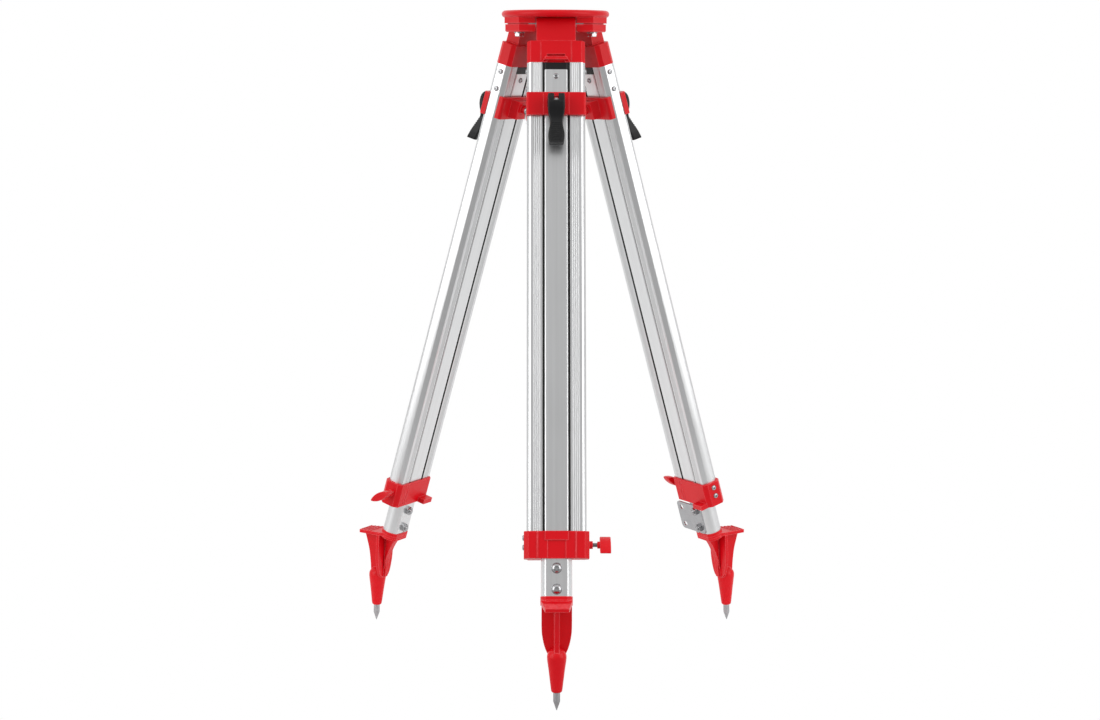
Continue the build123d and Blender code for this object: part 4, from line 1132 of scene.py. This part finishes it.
    def _lower_clamp(self) -> None:
        """Lower clamp with two faint ribs on its inner face."""
        form = self.place.form()
        form.take(self.place.name("lower_clamp"))
        for x in (22.0, 28.5):
            form.block((1.0, 0.8, 36.0), (x, 19.0, -788.0))
        self._finish(form, "lower_clamp", "leg", [self.finishes.moulding], 0.6)

    def _clamp_screw(self) -> None:
        """Threaded stem of the lower clamp's screw."""
        form = self.place.form()
        base = facing_side(0.001, self.tube_middle, self.clamp_screw)
        start = self.section.tube_half + 0.35
        radius = self.clamp_screw_radius
        form.spun([(start, 3.0), (start + 0.5, radius), (46.0, radius)], base, 32)
        form.threaded(radius, 1.25, 45.0, self.wing_start + 6.0, base)
        self._finish(form, "clamp_screw", "clamp_knob", [self.finishes.steel])

    def _wing_knob(self) -> None:
        """Red leaf-shaped wing with a stepped hub."""
        form = self.place.form()
        tilt = math.radians(self.wing_tilt)
        base = axes(
            (self.wing_start, self.tube_middle, -self.clamp_screw),
            (0, math.cos(tilt), math.sin(tilt)),
            (0, -math.sin(tilt), math.cos(tilt)),
        )
        half, thick, count = self.wing_half, self.wing_thick / 2, 24

        def leaf(scale: float, height: float) -> list[Point3]:
            """Leaf outline, drawn in towards its middle."""
            top = [-math.cos(math.pi * k / count) for k in range(count + 1)]
            upper = [(half * u * scale, thick * (1 - u * u) ** 0.8 * scale + 0.45, height) for u in top]
            lower = [(x, -y, z) for x, y, z in reversed(upper)]
            return [*upper, *lower]

        long = self.wing_long
        steps = (
            (0.93, 0.0), (0.975, 0.4), (0.995, 1.2), (0.995, long - 1.2), (0.975, long - 0.4), (0.93, long),
        )
        form.skin([leaf(scale, height) for scale, height in steps], base)
        form.spun([(-4.0, 4.7), (-3.4, 5.2), (8.6, 4.8), (11.0, 3.6), (11.4, 2.6)], base, 40)
        self._finish(form, "wing_knob", "clamp_knob", [self.finishes.moulding], angle=40.0)

    def _tube_fasteners(self) -> None:
        """Button-head foot bolts with nuts, and the screws of the guide plug."""
        form = self.place.form()
        bracket = 2.5 if self.place.side is Side.RIGHT else 0.0
        for station in self.foot_bolts:
            HARDWARE.button_bolt(form, facing_out(0, self.outer_tube_face, station))
            HARDWARE.hex_nut(form, facing_in(0, self.inner_tube_face + bracket, station))
        HARDWARE.pan_screw(form, facing_out(0, self.outer_tube_face, self.guide_screw))
        HARDWARE.pan_screw(form, facing_in(0, self.inner_tube_face, self.guide_screw))
        self._finish(form, "tube_fasteners", "extension", [self.finishes.steel], angle=35.0)


# ------------------------------------------------------------------ the foot


@dataclass
class Foot:
    """Cast foot with its tread plate, and the spike in it."""

    place: LegFrame
    finishes: Finishes
    section: Extrusions = field(default_factory=Extrusions)
    tip_station: float = 1024.8
    tip_inward: float = 10.4
    splay: float = 16.86
    cone_tilt: float = 2.46
    web_tilt: float = 3.4
    web_foot: Point2 = (15.2, 88.0)
    tread_height: float = 150.0
    tread_thick: float = 6.0
    ridge_pitch: float = 6.4
    collar_top: float = 862.0
    collar_bottom: float = 871.0
    spike_radius: float = 5.0
    spike_point: float = 13.0
    spike_out: float = 26.5

    def build(self) -> None:
        """Make and dress the foot and its spike."""
        self._casting()
        self._spike()

    def _side_plane(self, tilt: float) -> Matrix:
        """Frame seen from the leg's side: X inwards, Y up from the spike's tip, at a tilt from the leg."""
        c, s = math.cos(math.radians(tilt)), math.sin(math.radians(tilt))
        return axes((0, self.tip_inward, -self.tip_station), (0, c, s), (0, -s, c))

    def _axis(self) -> Matrix:
        """Frame at the spike's tip with its Z up the cone."""
        angle = math.radians(self.splay - self.cone_tilt)
        up = (0, -math.sin(angle), math.cos(angle))
        return axes((0, self.tip_inward, -self.tip_station), (1, 0, 0), Vector(up).cross(Vector((1, 0, 0))))

    def _level(self, height: float) -> Matrix:
        """Level frame at a height above the spike's tip, its Y inwards."""
        c, s = math.cos(math.radians(self.splay)), math.sin(math.radians(self.splay))
        return axes((0, self.tip_inward - height * s, -self.tip_station + height * c), (1, 0, 0), (0, c, s))

    def _web_plane(self) -> Matrix:
        """Frame of the web's middle plane: X across, Y up along the web."""
        angle = math.radians(self.splay - self.web_tilt)
        origin = self._side_plane(self.splay) @ Vector((*self.web_foot, 0.0))
        return axes(tuple(origin), (1, 0, 0), (0, -math.sin(angle), math.cos(angle)))

    def _casting(self) -> None:
        """Cone, web, ribs, tread plate and collar."""
        form = self.place.form()
        out = self.spike_out
        form.spun(
            [
                (out + 2.0, self.spike_radius - 0.6), (out, self.spike_radius + 0.1), (out + 0.1, 6.2),
                (out + 0.9, 7.3), (out + 2.4, 8.0), (out + 5.0, 8.45), (60.0, 11.9), (74.0, 13.9),
                (78.0, 14.2),
                (81.0, 14.0), (84.0, 13.0), (87.0, 10.9), (89.2, 8.2), (90.5, 5.0), (91.0, 1.5),
            ],
            self._axis(),
            64,
        )
        right = curve_through(
            [(9.0, -12.0), (13.6, -7.0), (18.0, 4.0), (21.0, 18.0), (22.0, 32.0), (22.0, 66.0)]
        )
        form.prism(mirrored(right), -2.5, 2.5, self._web_plane())
        side = self._side_plane(self.splay)
        outer = [
            (20.4, 76.0), (3.8, 74.0),
            *curve_through([(-7.6, 84.5), (-8.3, 100.0), (-10.6, 120.0), (-14.6, 136.0), (-18.7, 149.8)]),
            (24.0, 151.0), (28.0, 141.0),
        ]
        form.prism(outer, -3.6, 3.6, side)
        inner = [
            *curve_through([(19.0, 90.0), (25.2, 110.0), (33.0, 127.0), (42.7, 142.0)]),
            (50.0, 148.0), (30.0, 156.0), (25.0, 141.0),
        ]
        form.prism(inner, -6.0, 6.0, side)
        level = self._level(self.tread_height)
        plate = [(-17.3, -20.5), (17.3, -20.5), (22.3, 18.0), (22.3, 33.8), (-22.3, 33.8), (-22.3, 18.0)]
        form.prism(plate, 0.0, self.tread_thick - 0.6, level)
        for k in range(4):
            y = -17.6 + self.ridge_pitch * k
            half = 15.6 + (y + 20.5) * 5.0 / 38.5
            form.block((2 * half, 2.4, 1.5), (0, y, self.tread_thick - 0.3), level, lean=0.6)
        form.block((1.4, 25.0, 1.1), (0, -7.0, self.tread_thick - 0.5), level, lean=0.3)
        wall = self.section.tube_outline(0.8), self.section.tube_outline(0.05)
        form.sleeve(*wall, -self.collar_bottom, -self.collar_top)
        form.prism(self.section.tube_outline(0.7), -self.collar_bottom - 4.0, -self.collar_bottom + 3.5)
        node, body = self.place.name("foot"), self.place.name("extension")
        stand_in(form, node, body, [self.finishes.casting], 0.8)

    def _spike(self) -> None:
        """Turned steel spike with a pencil point."""
        form = self.place.form()
        radius, point = self.spike_radius, self.spike_point
        form.spun(
            [
                (0.0, 0.25), (0.5, 0.55), (point - 1.0, radius - 0.45), (point, radius - 0.1),
                (point + 0.8, radius),
                (self.spike_out + 18.0, radius), (self.spike_out + 20.0, radius - 0.5),
            ],
            self._axis(),
            40,
        )
        node, body = self.place.name("spike"), self.place.name("extension")
        stand_in(form, node, body, [self.finishes.spike], angle=20.0)


# ------------------------------------------------------------------ studio


@dataclass
class Studio:
    """Pale floor, soft lights and the camera."""

    floor_size: float = 60.0
    floor_front: Colour = (0.36, 0.36, 0.36)
    floor_back: Colour = (0.92, 0.92, 0.92)
    floor_blend: Point2 = (-0.7, 0.2)
    camera_place: Point3 = (-0.0520, -3.3355, 0.9294)
    yaw: float = 0.78
    pitch: float = -7.96
    roll: float = 0.19
    lens: float = 70.22
    front_light: float = 0.50
    front_span: Point2 = (-0.95, -0.45)
    side_span: Point2 = (0.55, 0.85)
    side_light: float = 0.64

    def build(self) -> None:
        """Make the floor, the lights, the world and the camera."""
        self._floor()
        self._world()
        self._lights()
        self._camera()

    def _floor(self) -> None:
        """Lay a large plain floor under the spikes."""
        mesh = bpy.data.meshes.new("floor")
        half = self.floor_size / 2
        corners = [(-half, -half, 0), (half, -half, 0), (half, half, 0), (-half, half, 0)]
        mesh.from_pydata(corners, [], [(0, 1, 2, 3)])
        floor = bpy.data.objects.new("floor", mesh)
        bpy.context.scene.collection.objects.link(floor)
        shader = Shader("pale_floor", 0.9)
        shader.surface.inputs["Specular IOR Level"].default_value = 0.0
        nodes, links = shader.tree.nodes, shader.tree.links
        split = nodes.new("ShaderNodeSeparateXYZ")
        links.new(nodes.new("ShaderNodeNewGeometry").outputs["Position"], split.inputs["Vector"])
        depth = ramp(shader.tree, split.outputs["Y"], self.floor_blend, (0.0, 1.0))
        shader.colour_from(shader.blend_colour(depth, self.floor_front, self.floor_back))
        white, seen = nodes.new("ShaderNodeEmission"), nodes.new("ShaderNodeMixShader")
        links.new(nodes.new("ShaderNodeLightPath").outputs["Is Camera Ray"], seen.inputs["Fac"])
        links.new(shader.surface.outputs["BSDF"], seen.inputs[1])
        links.new(white.outputs["Emission"], seen.inputs[2])
        links.new(seen.outputs["Shader"], nodes["Material Output"].inputs["Surface"])
        mesh.materials.append(shader.material)

    def _world(self) -> None:
        """Surround the object with white walls, dimmer in front of it and brighter at its sides."""
        world = bpy.data.worlds.new("studio")
        world.use_nodes = True
        nodes, links = world.node_tree.nodes, world.node_tree.links
        background = nodes["Background"]
        split = nodes.new("ShaderNodeSeparateXYZ")
        links.new(nodes.new("ShaderNodeTexCoord").outputs["Generated"], split.inputs["Vector"])
        tree = world.node_tree
        front = ramp(tree, split.outputs["Y"], self.front_span, (self.front_light, 1.0), "SMOOTHSTEP")
        width = nodes.new("ShaderNodeMath")
        width.operation = "ABSOLUTE"
        links.new(split.outputs["X"], width.inputs[0])
        side = ramp(tree, width.outputs[0], self.side_span, (1.0, self.side_light), "SMOOTHSTEP")
        shade = nodes.new("ShaderNodeMath")
        shade.operation = "MULTIPLY"
        links.new(front, shade.inputs[0])
        links.new(side, shade.inputs[1])
        seen = nodes.new("ShaderNodeMix")
        links.new(nodes.new("ShaderNodeLightPath").outputs["Is Camera Ray"], seen.inputs["Factor"])
        links.new(shade.outputs[0], seen.inputs["A"])
        seen.inputs["B"].default_value = 1.0
        links.new(seen.outputs["Result"], background.inputs["Strength"])
        background.inputs["Color"].default_value = (1.0, 1.0, 1.0, 1.0)
        bpy.context.scene.world = world

    @staticmethod
    def _lamp(name: str, place: Point3, aim: Point3, size: Point2, power: float) -> None:
        """Hang a rectangular soft light.

        Args:
            name: Name of the light.
            place: Where it hangs, in metres.
            aim: Point that it faces.
            size: Width and height in metres.
            power: Power in watts.
        """
        light = bpy.data.lights.new(name, "AREA")
        light.shape = "RECTANGLE"
        light.size, light.size_y = size
        light.energy = power
        lamp = bpy.data.objects.new(name, light)
        lamp.location = place
        lamp.rotation_euler = (Vector(aim) - Vector(place)).to_track_quat("-Z", "Y").to_euler()
        bpy.context.scene.collection.objects.link(lamp)

    def _lights(self) -> None:
        """Hang a soft light at each side."""
        middle = (0.0, 0.0, 0.5)
        for side in (-1.0, 1.0):
            self._lamp(f"softbox_{side:+.0f}", (side * 2.6, -1.5, 1.2), middle, (2.0, 3.0), 42.0)

    def _camera(self) -> None:
        """Aim the camera and make it the scene's own."""
        yaw, pitch, roll = (math.radians(v) for v in (self.yaw, self.pitch, self.roll))
        forward = Vector((math.sin(yaw) * math.cos(pitch), math.cos(yaw) * math.cos(pitch), math.sin(pitch)))
        level = forward.cross(Vector((0, 0, 1))).normalized()
        upright = level.cross(forward)
        right = level * math.cos(roll) + upright * math.sin(roll)
        up = upright * math.cos(roll) - level * math.sin(roll)
        turn = Matrix((right, up, -forward)).transposed().to_4x4()
        data = bpy.data.cameras.new("camera")
        data.lens = self.lens
        data.sensor_width = 36.0
        data.clip_end = 200.0
        camera = bpy.data.objects.new("camera", data)
        camera.matrix_world = Matrix.Translation(Vector(self.camera_place)) @ turn
        bpy.context.scene.collection.objects.link(camera)
        bpy.context.scene.camera = camera


def strap_bracket(finishes: Finishes) -> None:
    """Finish the pressed bracket on the right leg."""
    form = LegFrame.of(Side.RIGHT).form()
    form.take("strap_bracket")
    stand_in(form, "strap_bracket", "extension_right", [finishes.steel], 0.35)


def main() -> None:
    """Build the tripod and the studio, and report each piece."""
    logging.basicConfig(level=logging.INFO, format="%(message)s")
    bpy.context.scene.view_settings.view_transform = "Standard"
    Studio().build()
    finishes = Finishes()
    Head(finishes).build()
    for side in Side:
        place = LegFrame.of(side)
        Leg(place, finishes).build()
        Foot(place, finishes).build()
    strap_bracket(finishes)


if __name__ == "__main__":
    main()
